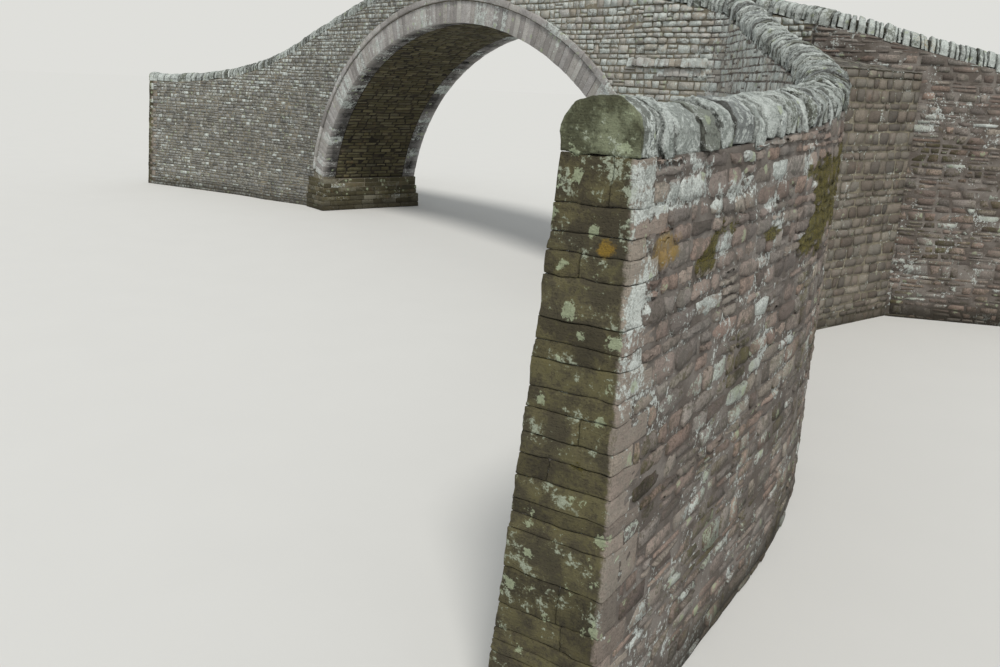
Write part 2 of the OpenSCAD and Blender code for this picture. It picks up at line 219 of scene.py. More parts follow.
class Wing:
    """A wing's river face in plan: the bridge, then a bend, a straight, a long sweep and a last straight.

    A place on it is a length s from the wing's start, below 0 over the bridge, and a height z. `levels` are
    the beds of its courses, and `quoins` says how far its pier's blocks reach back beside each course.
    """

    def __init__(self, end, bend_r, bend_a, run_1, sweep_r, sweep_a, run_2, slope, mid_z, end_z, courses):
        self.end, self.near, self.sign = end, end == "near", 1 if end == "near" else -1
        self.bend_r, self.bend, self.sweep_r = bend_r, math.radians(bend_a), sweep_r
        self.turn = math.radians(bend_a + sweep_a)
        self.s1 = bend_r * self.bend
        self.s2 = self.s1 + run_1
        self.s3 = self.s2 + sweep_r * math.radians(sweep_a)
        self.length = self.s3 + run_2
        self.slope, self.mid_z, self.end_z = slope, mid_z, end_z
        self.start_z = CREST_CROWN - hump(WING_START, slope)
        self.levels = course_levels(*courses, end_z - COPING_H)
        self.blocks = pier_courses(self.levels)
        self.quoins = np.concatenate([np.full(past - first, back) for first, past, back in self.blocks])

    def run_to(self, x):
        """Lengthens the last straight until the wing's end reaches x."""
        ahead = x - WING_START - self.plan(self.length)[0] - WALL_T * math.sin(self.turn)
        self.length += ahead / math.cos(self.turn)
        return self

    def either(self, near, far):
        """The first of two things for a near wing, and the second for a far one."""
        return near if self.near else far

    def plan(self, s):
        """Distance along the bridge, distance out from its face, and heading, at s."""
        bend = np.clip(s / self.bend_r, 0, self.bend)
        run = np.clip(s - self.s1, 0, self.s2 - self.s1)
        swept = np.clip((s - self.s2) / self.sweep_r, 0, self.turn - self.bend)
        sweep = self.bend + swept
        last = np.maximum(s - self.s3, 0)
        x = np.minimum(s, 0) + self.bend_r * np.sin(bend) + run * math.cos(self.bend)
        y = self.bend_r * (1 - np.cos(bend)) + run * math.sin(self.bend)
        x = x + self.sweep_r * (np.sin(sweep) - math.sin(self.bend)) + last * math.cos(self.turn)
        y = y + self.sweep_r * (math.cos(self.bend) - np.cos(sweep)) + last * math.sin(self.turn)
        return x, y, bend + swept

    def beside(self, s, inward, z):
        """A point at s, moved towards the road by `inward`, at height z."""
        x, y, heading = self.plan(s)
        return WING_START + x + inward * np.sin(heading), -HALF_W - y + inward * np.cos(heading), z

    def crest(self, s):
        """Top of the coping: the parapet's hump before the wing, then a parabola through three heights."""
        t = np.clip(s / (self.length - END_PIER_L), 0, 1)
        wing = (1 - t) * (1 - 2 * t) * self.start_z + 4 * t * (1 - t) * self.mid_z
        wing = wing + t * (2 * t - 1) * self.end_z
        return np.where(s < 0, CREST_CROWN - hump(WING_START + np.minimum(s, 0), self.slope), wing)

    def bed(self, s):
        """Height of the coping's bed."""
        return self.crest(s) - COPING_H

    def river(self, s, z, out):
        """The river face, which leans back by the batter once the wing has left the bridge."""
        lean = np.clip(s / self.s2, 0, 1) / BATTER
        return self.beside(s, -lean * np.maximum(self.bed(s) - z, 0) - out, z)

    def road(self, s, z, out):
        """The upright road face."""
        return self.beside(s, WALL_T + out, z)

    def half_road(self, x):
        """Half the width between the two road faces at a distance x along the bridge."""
        along, across, _ = self.road(np.linspace(0, 5, 200), 0, 0)
        return np.interp(x, along, -across, left=INNER_W)


class Quarter:
    """One of the bridge's four corners, a mirror image of the front near one, which the photograph shows."""

    def __init__(self, side, wing, sy):
        self.wing, self.name, self.sx, self.sy = wing, f"{side}_{wing.end}", wing.sign, sy
        self.side, self.hero = side, side == "front" and wing.near

    def mirror(self, place):
        """A placing function of the front near corner, moved to this one."""
        def placed(*terms):
            x, y, z = place(*terms)
            return self.sx * x, self.sy * y, z
        return placed

    def rng(self, seed):
        return np.random.default_rng([seed, self.sx + 1, self.sy + 1])


ARCH = Arch()
NEAR = Wing("near", 1.1, 40, 3.65, 10.8, 30, 3.36, NEAR_SLOPE, 4.9, 4.44, (11, 0.09, 0.19))
FAR = Wing("far", 4, 12, 1.5, 9, 12, 0, FAR_SLOPE, 4.6, 4.24, (23, 0.08, 0.135))
FAR.run_to(high("end_pier_front_near", 0))
SIDES = (("front", 1), ("back", -1))
QUARTERS = [Quarter(side, wing, sy) for wing in (NEAR, FAR) for side, sy in SIDES]
CROWN_TEETH = np.random.default_rng(5).uniform(-0.3, 0.3, 200)


def stone_sizes(quads):
    """Width and height of stones given as corners [N, 4, 2] from bottom left anticlockwise."""
    wide = np.abs(quads[:, 1:3, 0].mean(1) - quads[:, [0, 3], 0].mean(1))
    tall = np.abs(quads[:, 2:, 1].mean(1) - quads[:, :2, 1].mean(1))
    return wide, tall


def lay_courses(rng, levels, reach, shortest, longest, wave=0.014, slant=0.01):
    """Stones [N, 4, 2] in courses, as corners (u, z) from bottom left anticlockwise.

    reach(k) gives a course's ends. A bed waves by the sum of two sines of u with random phases, and each
    upright joint leans a little.
    """
    phase = rng.uniform(0, TAU, (len(levels), 2))

    def bed(k, u):
        return levels[k] + wave * (np.sin(0.8 * u + phase[k, 0]) + 0.6 * np.sin(2.3 * u + phase[k, 1]))

    laid = []
    for k in range(len(levels) - 1):
        left, right = reach(k)
        if right - left < shortest:
            continue
        lengths = shortest + (longest - shortest) * rng.beta(1.3, 2.2, int((right - left) / shortest) + 2)
        cuts = left + np.cumsum(lengths)
        cuts = np.concatenate([[left], cuts[cuts < right - 0.7 * shortest], [right]])
        tilt = rng.normal(0, slant, len(cuts))
        tilt[[0, -1]] = 0
        foot, head = cuts - tilt, cuts + tilt
        corners = [(foot[:-1], k), (foot[1:], k), (head[1:], k + 1), (head[:-1], k + 1)]
        laid.append(np.stack([np.stack([u, bed(j, u)], -1) for u, j in corners], 1))
    return np.concatenate(laid)


def split_thin(rng, quads, share):
    """Cuts a share of the taller stones into an upper and a lower thin one."""
    chosen = (rng.random(len(quads)) < share) & (stone_sizes(quads)[1] > 0.115)
    part = rng.uniform(0.38, 0.62, (len(quads), 1))
    bl, br, tr, tl = (quads[:, k] for k in range(4))
    ml, mr = bl + (tl - bl) * part, br + (tr - br) * part
    lower, upper = np.stack([bl, br, mr, ml], 1), np.stack([ml, mr, tr, tl], 1)
    return np.concatenate([quads[~chosen], lower[chosen], upper[chosen]])


def trim(s, z, least=0.032):
    """Stones from their corners' s and z, without those that clipping has left too thin."""
    quads = np.stack([s, z], -1)
    wide, tall = stone_sizes(quads)
    return quads[(wide > least) & (tall > least)]


def cuts_between(rng, draws, shortest, longest, start, stop, least=0.1):
    """Joints at random lengths from start to stop, the last stone no shorter than the least."""
    cuts = start + np.cumsum(rng.uniform(shortest, longest, draws))
    return np.concatenate([[start], cuts[cuts < stop - least], [stop]])


def spread(count, inset):
    """Fractions 0, inset ... 1 - inset, 1 for each stone: [N, count]."""
    edge = np.zeros((len(inset), 1))
    inner = inset[:, None] + (1 - 2 * inset[:, None]) * np.linspace(0, 1, count - 2)
    return np.concatenate([edge, inner, 1 - edge], axis=1)


def grid_quads(index):
    """Quads between the neighbours in a grid of vertex numbers."""
    return np.stack([index[:-1, :-1], index[1:, :-1], index[1:, 1:], index[:-1, 1:]], -1).reshape(-1, 4)


def grid_rim(index):
    """The vertex numbers round the rim of a grid, in turn."""
    return np.concatenate([index[:-1, 0], index[-1, :-1], index[:0:-1, -1], index[0, :0:-1]])


def enclosed(points, faces):
    """Six times the signed volume between the origin and like faces [F, K], each cut into a fan."""
    first, *rest = points[faces.T]
    return sum((first * np.cross(a, b)).sum() for a, b in zip(rest, rest[1:]))


@cache
def lattice(divisions):
    """Surface points of a box lattice, as index triples, and the quads between them, outwards."""
    index = np.stack(np.indices([count + 1 for count in divisions]), -1)
    surface = ((index == 0) | (index == np.array(divisions))).any(-1)
    numbers = np.full(surface.shape, -1)
    numbers[surface] = np.arange(surface.sum())
    faces = []
    for axis, last in enumerate(divisions):
        for side in (0, last):
            quads = grid_quads(np.take(numbers, side, axis=axis))
            faces.append(quads[:, ::-1] if (side == 0) != (axis == 1) else quads)
    return index[surface], np.concatenate(faces)


def box_corners(*ends):
    """Corners [N, 2, 2, 2, 3] of boxes from their two ends along each axis, as numbers or arrays."""
    ends = np.broadcast_arrays(*[np.atleast_1d(np.asarray(end, float)) for end in ends])
    corners = np.zeros((len(ends[0]), 2, 2, 2, 3))
    for i, j, k in np.ndindex(2, 2, 2):
        corners[:, i, j, k] = np.stack([ends[i], ends[2 + j], ends[4 + k]], -1)
    return corners


class Shell:
    """Closed stones gathered into one mesh, with two sets of values at each vertex for the finishes.

    `stone` holds the stone's tone and tint, the tint lowered where shade is painted, and how near a joint the
    vertex is, and `growth` holds lichen, moss, ochre, and a wet algal film with painted shade over it. A grow
    function gives these from the vertices' first and upright coordinates, their points and a random
    generator.
    """

    def __init__(self):
        self.points, self.faces, self.stone, self.growth = [], [], [], []
        self.count = 0

    def add(self, points, quads, caps, edge, tone=0, grown=()):
        """Adds N like stones: points [N, V, 3], and one's quads [F, 4] and caps [K], turned outwards."""
        number, size = points.shape[:2]
        stone, growth = np.ones((number, size, 4)), np.zeros((number, size, 4))
        stone[..., :2] = tone
        stone[..., 2] = edge
        for k, part in enumerate(grown):
            growth[..., k] = part
        points = np.clip(points, BOX_LOW, BOX_HIGH)
        faces = [quads] + [cap[None] for cap in caps]
        if sum(enclosed(points[0], face) for face in faces) < 0:
            faces = [face[:, ::-1] for face in faces]
        offsets = self.count + size * np.arange(number)
        self.faces += [(offsets[:, None, None] + face).reshape(-1, face.shape[1]) for face in faces]
        for rows, new in ((self.points, points), (self.stone, stone), (self.growth, growth)):
            rows.append(new.reshape(number * size, -1))
        self.count += number * size
        return self

    def build(self, name, finish, slot, replaced=(), sharp=None):
        """Makes the object, which rides on the bridge."""
        sizes = np.concatenate([np.full(len(face), face.shape[1]) for face in self.faces])
        loops = np.concatenate([face.ravel() for face in self.faces])
        mesh = bpy.data.meshes.new(name)
        mesh.vertices.add(self.count)
        mesh.vertices.foreach_set("co", np.concatenate(self.points).astype(np.float32).ravel())
        mesh.loops.add(len(loops))
        mesh.loops.foreach_set("vertex_index", loops.astype(np.int32))
        mesh.polygons.add(len(sizes))
        mesh.polygons.foreach_set("loop_start", (np.cumsum(sizes) - sizes).astype(np.int32))
        mesh.polygons.foreach_set("loop_total", sizes.astype(np.int32))
        for label, rows in (("stone", self.stone), ("growth", self.growth)):
            layer = mesh.attributes.new(label, "FLOAT_COLOR", "POINT")
            layer.data.foreach_set("color", np.concatenate(rows).astype(np.float32).ravel())
        mesh.update(calc_edges=True)
        mesh.polygons.foreach_set("use_smooth", np.ones(len(sizes), bool))
        if sharp is not None:
            mesh.set_sharp_from_angle(angle=math.radians(sharp))
        mesh.materials.append(finish_of(finish))
        piece = bpy.data.objects.new(name, mesh)
        bpy.context.scene.collection.objects.link(piece)
        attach(piece, "root")
        if replaced:
            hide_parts(*replaced)

    def pillows(self, rng, quads, place, grow, proud, joint, counts=(4, 4), inset=0.011, rounding=0.13,
                ragged=0.0035):
        """Rubble faces: a grid between four corners, its rim sunk into the wall and its middle proud.

        Its points are (1-a)(1-b) bl + a(1-b) br + ab tr + (1-a)b tl, drawn in towards the middle by
        (2a-1)^4 (2b-1)^4. The height is a seeded stand plus a tilt in a and b, a bulge
        (1-(2a-1)^2)(1-(2b-1)^2) and a little roughness.
        """
        number, (nu, nv) = len(quads), counts
        if number == 0:
            return self
        wide, tall = stone_sizes(quads)
        size = np.stack([wide, tall], -1)[:, None]
        centre = quads.mean(1, keepdims=True)
        gap = joint * rng.uniform(0.6, 1.7, size.shape)
        quads = centre + (quads - centre) * (1 - gap / np.maximum(size, 2 * gap))
        a = spread(nu, np.clip(inset / wide, 0.04, 0.3))[:, None, :]
        b = spread(nv, np.clip(inset / tall, 0.06, 0.3))[:, :, None]
        weights = [(1 - a) * (1 - b), a * (1 - b), a * b, (1 - a) * b]
        uv = sum(w[..., None] * quads[:, None, None, k] for k, w in enumerate(weights))
        pull = rounding * rng.uniform(0.4, 1.6, (number, 1, 1)) * (2 * a - 1) ** 4 * (2 * b - 1) ** 4
        uv = centre[:, None] + (uv - centre[:, None]) * (1 - pull[..., None])
        inwards = np.minimum(np.arange(nv), np.arange(nv)[::-1])[:, None]
        inwards = np.minimum(inwards, np.minimum(np.arange(nu), np.arange(nu)[::-1]))
        rim, ring = inwards == 0, inwards == 1
        stand = rng.uniform(*proud, (number, 1, 1))
        tilts = rng.normal(0, 0.006, (number, 2, 1, 1))
        bulge = rng.uniform(0.002, 0.012, (number, 1, 1)) * (1 - (2 * a - 1) ** 2) * (1 - (2 * b - 1) ** 2)
        w = stand + tilts[:, 0] * (2 * a - 1) + tilts[:, 1] * (2 * b - 1) + bulge
        w = w + rng.normal(0, 0.0022, (number, nv, nu))
        w = np.where(rim, -SUNK, np.maximum(w, 0.002) - 0.003 * ring)
        uv = uv + rng.normal(0, ragged, uv.shape) * (~rim)[..., None]
        u, z = uv.reshape(number, -1, 2).transpose(2, 0, 1)
        points = np.stack(place(u, z, w.reshape(number, -1)), -1)
        index = np.arange(nv * nu).reshape(nv, nu).T
        tone = rng.random((number, 1, 2))
        edge = (rim + 0.35 * ring).reshape(-1)
        grown = grow(u, z, points, rng)
        return self.add(points, grid_quads(index), [grid_rim(index)[::-1]], edge, tone, grown)

    def blocks(self, rng, corners, place, divisions, radius, rough, grow, scale=(1, 1, 1), painted_shade=None,
               gap_dirt_and_shade=0.5):
        """Dressed stones: boxes between eight corners [N, 2, 2, 2, 3], with rounded edges and uneven faces.

        A lattice point on m faces of the box moves in by radius (1 - 1/sqrt(m)) on each of them, and the
        eight corners are mixed in proportion. `scale` turns the placing function's own units into metres,
        the last argument is how dark the faces across the first axis are, dirt and painted shade in the gaps
        between the stones, and the one before it, a function of the spot, takes painted shade off the tint.
        """
        number = len(corners)
        index, faces = lattice(divisions)
        first, last = index == 0, index == np.array(divisions)
        shared = (first | last).sum(-1)
        give = 1 - 1 / np.sqrt(np.maximum(shared, 1))
        fractions = []
        for axis in range(3):
            step = np.moveaxis(corners, axis + 1, 1)
            size = np.linalg.norm((step[:, 1] - step[:, 0]) * np.array(scale), axis=-1).mean((1, 2))
            edge = np.clip(radius / size, 0.01, 0.3)[:, None]
            along = spread(divisions[axis] + 1, edge[:, 0])[:, index[:, axis]]
            along = np.where(first[:, axis], edge * give, along)
            fractions.append(np.where(last[:, axis], 1 - edge * give, along))
        spot = np.zeros((number, len(index), 3))
        for corner in np.ndindex(2, 2, 2):
            part = math.prod(fraction if side else 1 - fraction for side, fraction in zip(corner, fractions))
            spot += part[..., None] * corners[(slice(None), *corner)][:, None]
        points = np.stack(place(*spot.transpose(2, 0, 1)), -1)
        push = [ripple(points, 0.16, seed) + 0.5 * ripple(points, 0.06, seed + 1)
                for seed in rng.integers(0, 9999, 3)]
        points = points + rough * (np.stack(push, -1) + rng.normal(0, 0.25, points.shape))
        tone = np.repeat(rng.random((number, 1, 2)), len(index), axis=1)
        # Painted shade: the tint is lowered where the function says, on soffit sides and below oversails.
        if painted_shade:
            tone[..., 1] -= painted_shade(spot)
        # Edges, corners and the faces across the first axis count as near a joint; the finish darkens them as
        # dirt and painted shade.
        edge = np.maximum((shared - 1) / 2, gap_dirt_and_shade * (first | last)[:, 0])
        return self.add(points, faces, [], edge, tone, grow(spot[..., 0], spot[..., 2], points, rng))

    def sweep(self, stations, profile, place):
        """A closed bar: profile points (across, up) carried along stations, with a cap at each end."""
        ring = len(profile)
        index = np.arange(len(stations) * ring).reshape(-1, ring)
        after = np.roll(index, -1, axis=1)
        quads = np.stack([index[:-1], after[:-1], after[1:], index[1:]], -1).reshape(-1, 4)
        across, up = np.tile(profile, (len(stations), 1)).T
        points = np.stack(place(np.repeat(stations, ring), across, up), -1)
        return self.add(points[None], quads, [index[0, ::-1], index[-1]], 1)

    def sheet(self, stations, parts, place, grow):
        """A thin closed sheet: a grid at a small height over the wall, and the same grid sunk behind it."""
        u, b = [grid.ravel() for grid in np.meshgrid(stations, parts, indexing="ij")]
        points = np.concatenate([np.stack(place(u, b, front), -1) for front in (1, 0)])[None]
        index = np.arange(len(u)).reshape(len(stations), -1)
        front, rim = grid_quads(index), grid_rim(index)
        after = np.roll(rim, -1)
        wall = np.stack([after, rim, rim + len(u), after + len(u)], -1)
        grown = grow(np.tile(u, 2)[None], points[..., 2], points, np.random.default_rng(3))
        return self.add(points, np.concatenate([front, front[:, ::-1] + len(u), wall]), [], 0, 0, grown)


class Value:
    """A node's output socket, on which arithmetic adds Math nodes."""

    def __init__(self, nodes, socket):
        self.nodes, self.socket = nodes, socket

    def math(self, operation, *terms):
        return self.nodes.node("ShaderNodeMath", {"operation": operation}, terms)

    def __add__(self, other):
        return self.math("ADD", self, other)

    def __sub__(self, other):
        return self.math("SUBTRACT", self, other)

    def __rsub__(self, other):
        return self.math("SUBTRACT", other, self)

    def __mul__(self, other):
        return self.math("MULTIPLY", self, other)

    def __gt__(self, other):
        return self.math("GREATER_THAN", self, other)

    __radd__ = __add__
    __rmul__ = __mul__


class Nodes:
    """A node tree and the nodes that are added to it."""

    def __init__(self, tree):
        self.tree = tree

    def node(self, kind, settings, values, output=0):
        """Adds a node: its settings first, then a value or a link for each of its sockets."""
        node = self.tree.nodes.new(kind)
        for key, setting in settings.items():
            if key == "stops":
                self.stops(node.color_ramp, setting)
            else:
                setattr(node, key, setting)
        pairs = values.items() if isinstance(values, dict) else enumerate(values)
        for key, value in pairs:
            self.feed(node.inputs[key], value)
        return Value(self, node.outputs[output])

    def stops(self, ramp, stops):
        """Gives a colour ramp its positions and colours."""
        while len(ramp.elements) < len(stops):
            ramp.elements.new(1)
        for element, (position, colour) in zip(ramp.elements, stops):
            element.position = position
            element.color = (*colour, 1)

    def feed(self, socket, value):
        """Links a socket or sets its value."""
        if isinstance(value, Value):
            self.tree.links.new(value.socket, socket)
        elif socket.type == "RGBA":
            socket.default_value = (*value, 1)
        else:
            socket.default_value = value


# Sockets of a Mix node that is set to colours
MIX_FACTOR, MIX_A, MIX_B, MIX_OUT = 0, 6, 7, 2


class Finish(Nodes):
    """A material."""

    def __init__(self, name, roughness=0.9, shine=0.3):
        self.material = bpy.data.materials.new(name)
        self.material.use_nodes = True
        super().__init__(self.material.node_tree)
        self.shader = self.tree.nodes["Principled BSDF"].inputs
        self.shader["Roughness"].default_value = roughness
        self.shader["Specular IOR Level"].default_value = shine
        self.place = self.node("ShaderNodeTexCoord", {}, {}, "Object")

    def noise(self, scale, detail, rough=0.55, stretch=(1, 1, 1)):
        """Soft noise from -0.5 to 0.5 over the place, stretched along each axis."""
        at = self.node("ShaderNodeVectorMath", {"operation": "MULTIPLY"}, (self.place, stretch))
        values = {"Vector": at, "Scale": scale, "Detail": detail, "Roughness": rough}
        return self.node("ShaderNodeTexNoise", {}, values) - 0.5

    def cells(self, scale, output="Distance"):
        return self.node("ShaderNodeTexVoronoi", {}, {"Vector": self.place, "Scale": scale}, output)

    def rise(self, value, start, stop):
        """0 below start, 1 above stop, smooth between."""
        values = {"Value": value, "From Min": start, "From Max": stop}
        return self.node("ShaderNodeMapRange", {"interpolation_type": "SMOOTHSTEP"}, values)

    def mix(self, mask, first, second, blend="MIX"):
        values = {MIX_FACTOR: mask, MIX_A: first, MIX_B: second}
        return self.node("ShaderNodeMix", {"data_type": "RGBA", "blend_type": blend}, values, MIX_OUT)

    def shaded(self, colour, value):
        """A colour times a value."""
        grey = self.node("ShaderNodeCombineColor", {}, (value, value, value))
        return self.mix(1.0, colour, grey, "MULTIPLY")

    def parts(self, colour, count=3):
        return [self.node("ShaderNodeSeparateColor", {}, (colour,), k) for k in range(count)]

    def attribute(self, name, output="Color"):
        return self.node("ShaderNodeAttribute", {"attribute_name": name}, {}, output)

    def weather(self):
        """Lichen, moss and ochre where they grow, and the four noises that fray them, from broad to fine."""
        noises = [self.noise(*terms) for terms in ((1.6, 3, 0.6), (5.5, 4, 0.6), (11, 5, 0.68), (34, 4, 0.7))]
        return *self.parts(self.attribute("growth")), *noises

    def wet(self, drift):
        """1 at the foot, where the wall stands wet, and 0 above."""
        height = self.node("ShaderNodeSeparateXYZ", {}, (self.place,), 2)
        return 1 - self.rise(height + 0.25 * drift, 0.12, 0.42)

    def done(self, colour, relief, distance):
        """Feeds the shader's colour, and its normal through a bump."""
        self.feed(self.shader["Base Color"], colour)
        bump = self.node("ShaderNodeBump", {}, {"Height": relief, "Distance": distance})
        self.feed(self.shader["Normal"], bump)
        return self.material


def srgb(*colour):
    """Linear colour of an everyday 0 to 255 one."""
    return tuple((c / 255 / 12.92) if c < 11 else ((c / 255 + 0.055) / 1.055) ** 2.4 for c in colour)


def tones(*colours):
    return [srgb(*colour) for colour in colours]


RUST, FILM, SOOT, SPOT = tones((126, 88, 64), (142, 141, 130), (48, 48, 40), (158, 168, 140))
# The last crust colour, on the algal film, is darker: partly the lichen's own colour, partly painted shade.
CRUST, CRUST_DULL, CRUST_DAMP_AND_SHADE = tones((205, 212, 208), (158, 165, 161), (140, 148, 124))
OCHRE, MOSS_DARK, MOSS_LIGHT, WET = tones((140, 112, 36), (42, 40, 17), (106, 98, 36), (46, 42, 30))
JOINT, WING_JOINT = tones((44, 40, 34), (96, 89, 83))
# The algal film's dark and light colours, darkened further as painted shade.
DAMP_FILM_AND_SHADE = tones((50, 47, 25), (82, 78, 46))

FACE_STONES = tones((150, 147, 139), (184, 181, 174), (190, 186, 174), (168, 165, 159), (203, 201, 196),
                    (174, 166, 152), (188, 186, 181))
FAR_STONES = tones((107, 108, 106), (140, 141, 138), (149, 149, 144), (123, 124, 122), (161, 162, 160),
                   (131, 129, 121), (144, 145, 143))
WING_STONES = tones((104, 96, 91), (144, 126, 116), (134, 127, 122), (156, 136, 124), (148, 142, 136),
                    (112, 104, 99), (158, 149, 138))
PIER_STONES = tones((120, 111, 104), (146, 134, 124), (134, 125, 116), (156, 146, 134))
COPING_STONES = tones((122, 129, 122), (160, 167, 162), (142, 147, 146), (112, 117, 106), (176, 183, 180))
RING_STONES = tones((160, 157, 154), (184, 181, 179), (173, 169, 166), (150, 146, 143), (190, 187, 183))
# The vault's stones are dark olive brown, partly their own colour and partly painted shade under the arch.
VAULT_STONES = tones((76, 70, 50), (96, 91, 64), (85, 81, 58), (107, 100, 70), (70, 67, 49))
BASE_STONES = tones((76, 71, 51), (93, 87, 63), (72, 68, 52), (105, 98, 75))
DECK_STONES = tones((110, 108, 104), (134, 130, 122), (122, 116, 108), (146, 142, 134))
CORE_STONES = tones((110, 101, 92), (132, 122, 112), (104, 99, 93), (142, 133, 121))


def stone_finish(name, palette, crust=0.1, cover=0.92, spots=0.4, film=0.4, rust=0.3, soot=0.3, joint_dirt_and_shade=0.7,
                 wet=0.55, relief=0.012, beds=(3, 3, 26), joint=JOINT, damp_and_shade=DAMP_FILM_AND_SHADE, crust_damp_and_shade=CRUST_DAMP_AND_SHADE):
    """Weathered stone: a tone for each stone, grain, bedding and pits, rust, grey film and soot, a green
    algal film on wet ends with painted shade over it, pale crusts and spots of lichen, ochre and moss where
    they grow, and darker edges by the joints, partly dirt and partly painted shade.

    Each layer shows where a sum of noises and of its own growth passes a threshold, softly at its rim.
    """
    f = Finish(name)
    tone, tint, edge = f.parts(f.attribute("stone"))
    lichen, moss, ochre, drift, broad, patch, speck = f.weather()
    grain, bedding, tuft = f.noise(90, 4, 0.65), f.noise(3, 3, 0.6, beds), f.noise(150, 3, 0.7)
    stops = list(zip(np.linspace(0, 1, len(palette)), palette))
    colour = f.node("ShaderNodeValToRGB", {"stops": stops}, (tone,), "Color")
    pits = f.rise(f.cells(58) + 0.7 * patch, 0.14, 0.3)
    shade = 0.52 + 0.4 * tint + 0.3 * drift + 0.6 * broad + 0.8 * grain + 0.6 * bedding
    colour = f.shaded(colour, shade + 0.16 * pits)
    colour = f.mix(f.rise(broad + 0.35 * speck, 0.08, 0.22) * rust, colour, RUST)
    filmed = f.rise(0.6 * patch + 0.4 * drift + 0.5 * speck + 0.25 * (tint - 0.5), 0.02, 0.12)
    colour = f.mix(filmed * film, colour, FILM)
    sooty = f.rise(0.3 * bedding + 0.7 * patch + 0.7 * speck - 0.2 * (lichen - 0.5), 0, 0.16)
    colour = f.mix(sooty * soot, colour, SOOT)
    # An algal film where the stone stays wet, darkened as painted shade on the ends that face away from the
    # light.
    algae_and_shade = f.rise(f.attribute("growth", "Alpha") + 0.5 * patch + 0.4 * speck, 0.3, 0.6)
    slime_and_shade = f.mix(f.rise(0.6 * broad + 0.4 * speck + 0.5 * drift, -0.08, 0.08), *damp_and_shade)
    colour = f.mix(algae_and_shade * 0.88, colour, f.shaded(slime_and_shade, shade + 0.1))
    ground = 0.5 * patch + 0.4 * speck + 0.25 * drift + 0.36 * (lichen - 0.5) + crust
    crusted = f.rise(ground, 0.05, 0.11) * (0.65 + 0.35 * f.rise(grain, -0.16, 0.06))
    pale = f.mix(f.rise(0.4 * grain + 0.6 * speck + 0.6 * broad, -0.08, 0.08), CRUST_DULL, CRUST)
    # Over the algal film the pale crust takes a darker colour, partly painted shade.
    colour = f.mix(crusted * cover, colour, f.mix(algae_and_shade * 0.8, pale, crust_damp_and_shade))
    size = f.parts(f.cells(7, "Color"), 1)[0]
    spot = f.rise(0.5 * size + 0.9 * speck + 0.8 * patch - f.cells(7), 0.12, 0.2) * (size > 1 - spots)
    colour = f.mix(spot * (0.65 + 0.9 * speck), colour, SPOT)
    gold = f.rise(ochre + 0.9 * patch + 0.9 * speck, 0.4, 0.72)
    colour = f.mix(gold * (0.63 + 1.1 * grain), colour, OCHRE)
    green = f.rise(moss + 0.8 * broad + 0.5 * speck + 0.22 * edge, 0.52, 0.64)
    leaves = f.mix(f.rise(tuft + 0.5 * patch, -0.12, 0.12), MOSS_DARK, MOSS_LIGHT)
    colour = f.mix(green * 0.94, colour, leaves)
    # Darker at the edges and in the gaps, towards the joint colour: partly dirt, partly painted shade.
    colour = f.mix(f.rise(edge + 0.6 * speck, 0.2, 1.0) * (1 - 0.6 * crusted) * joint_dirt_and_shade, colour, joint)
    colour = f.mix(f.wet(broad) * wet, colour, WET)
    bumps = 0.5 * grain + 0.55 * speck + 0.35 * patch + 0.5 * bedding + 0.3 * pits + 0.16 * crusted
    return f.done(colour, bumps + green * (0.85 + 0.9 * tuft), relief)


def joint_finish(name, base, lime, crust=0.0, mossy=0.3):
    """Old mortar and earth in the joints, crumbling, with pale lime left in places and what grows on it."""
    f = Finish(name, 0.95)
    lichen, moss, ochre, drift, broad, patch, speck = f.weather()
    clouds, grit = f.noise(2.2, 4, 0.6), f.noise(60, 5, 0.7)
    colour = f.mix(f.rise(clouds, -0.1, 0.15), base, lime)
    colour = f.shaded(colour, 0.95 + 0.9 * grit)
    ground = 0.5 * patch + 0.4 * speck + 0.25 * drift + 0.2 * lichen + crust
    crusted = f.rise(ground, 0.05, 0.11) * (0.5 + 0.4 * f.rise(grit, -0.16, 0.06))
    colour = f.mix(crusted, colour, f.mix(f.rise(0.4 * grit + 0.6 * speck, -0.08, 0.08), CRUST_DULL, CRUST))
    colour = f.mix(f.rise(ochre + 0.9 * patch + 0.9 * speck, 0.4, 0.72) * 0.6, colour, OCHRE)
    colour = f.mix(f.rise(f.noise(3.7, 5, 0.65), 0.04, 0.12) * mossy, colour, MOSS_DARK)
    green = f.rise(moss + 0.8 * broad + 0.5 * speck, 0.42, 0.54)
    colour = f.mix(green * 0.94, colour, f.mix(f.rise(grit, -0.12, 0.12), MOSS_DARK, MOSS_LIGHT))
    colour = f.mix(f.wet(clouds) * 0.6, colour, WET)
    return f.done(colour, grit + 0.6 * clouds, 0.014)


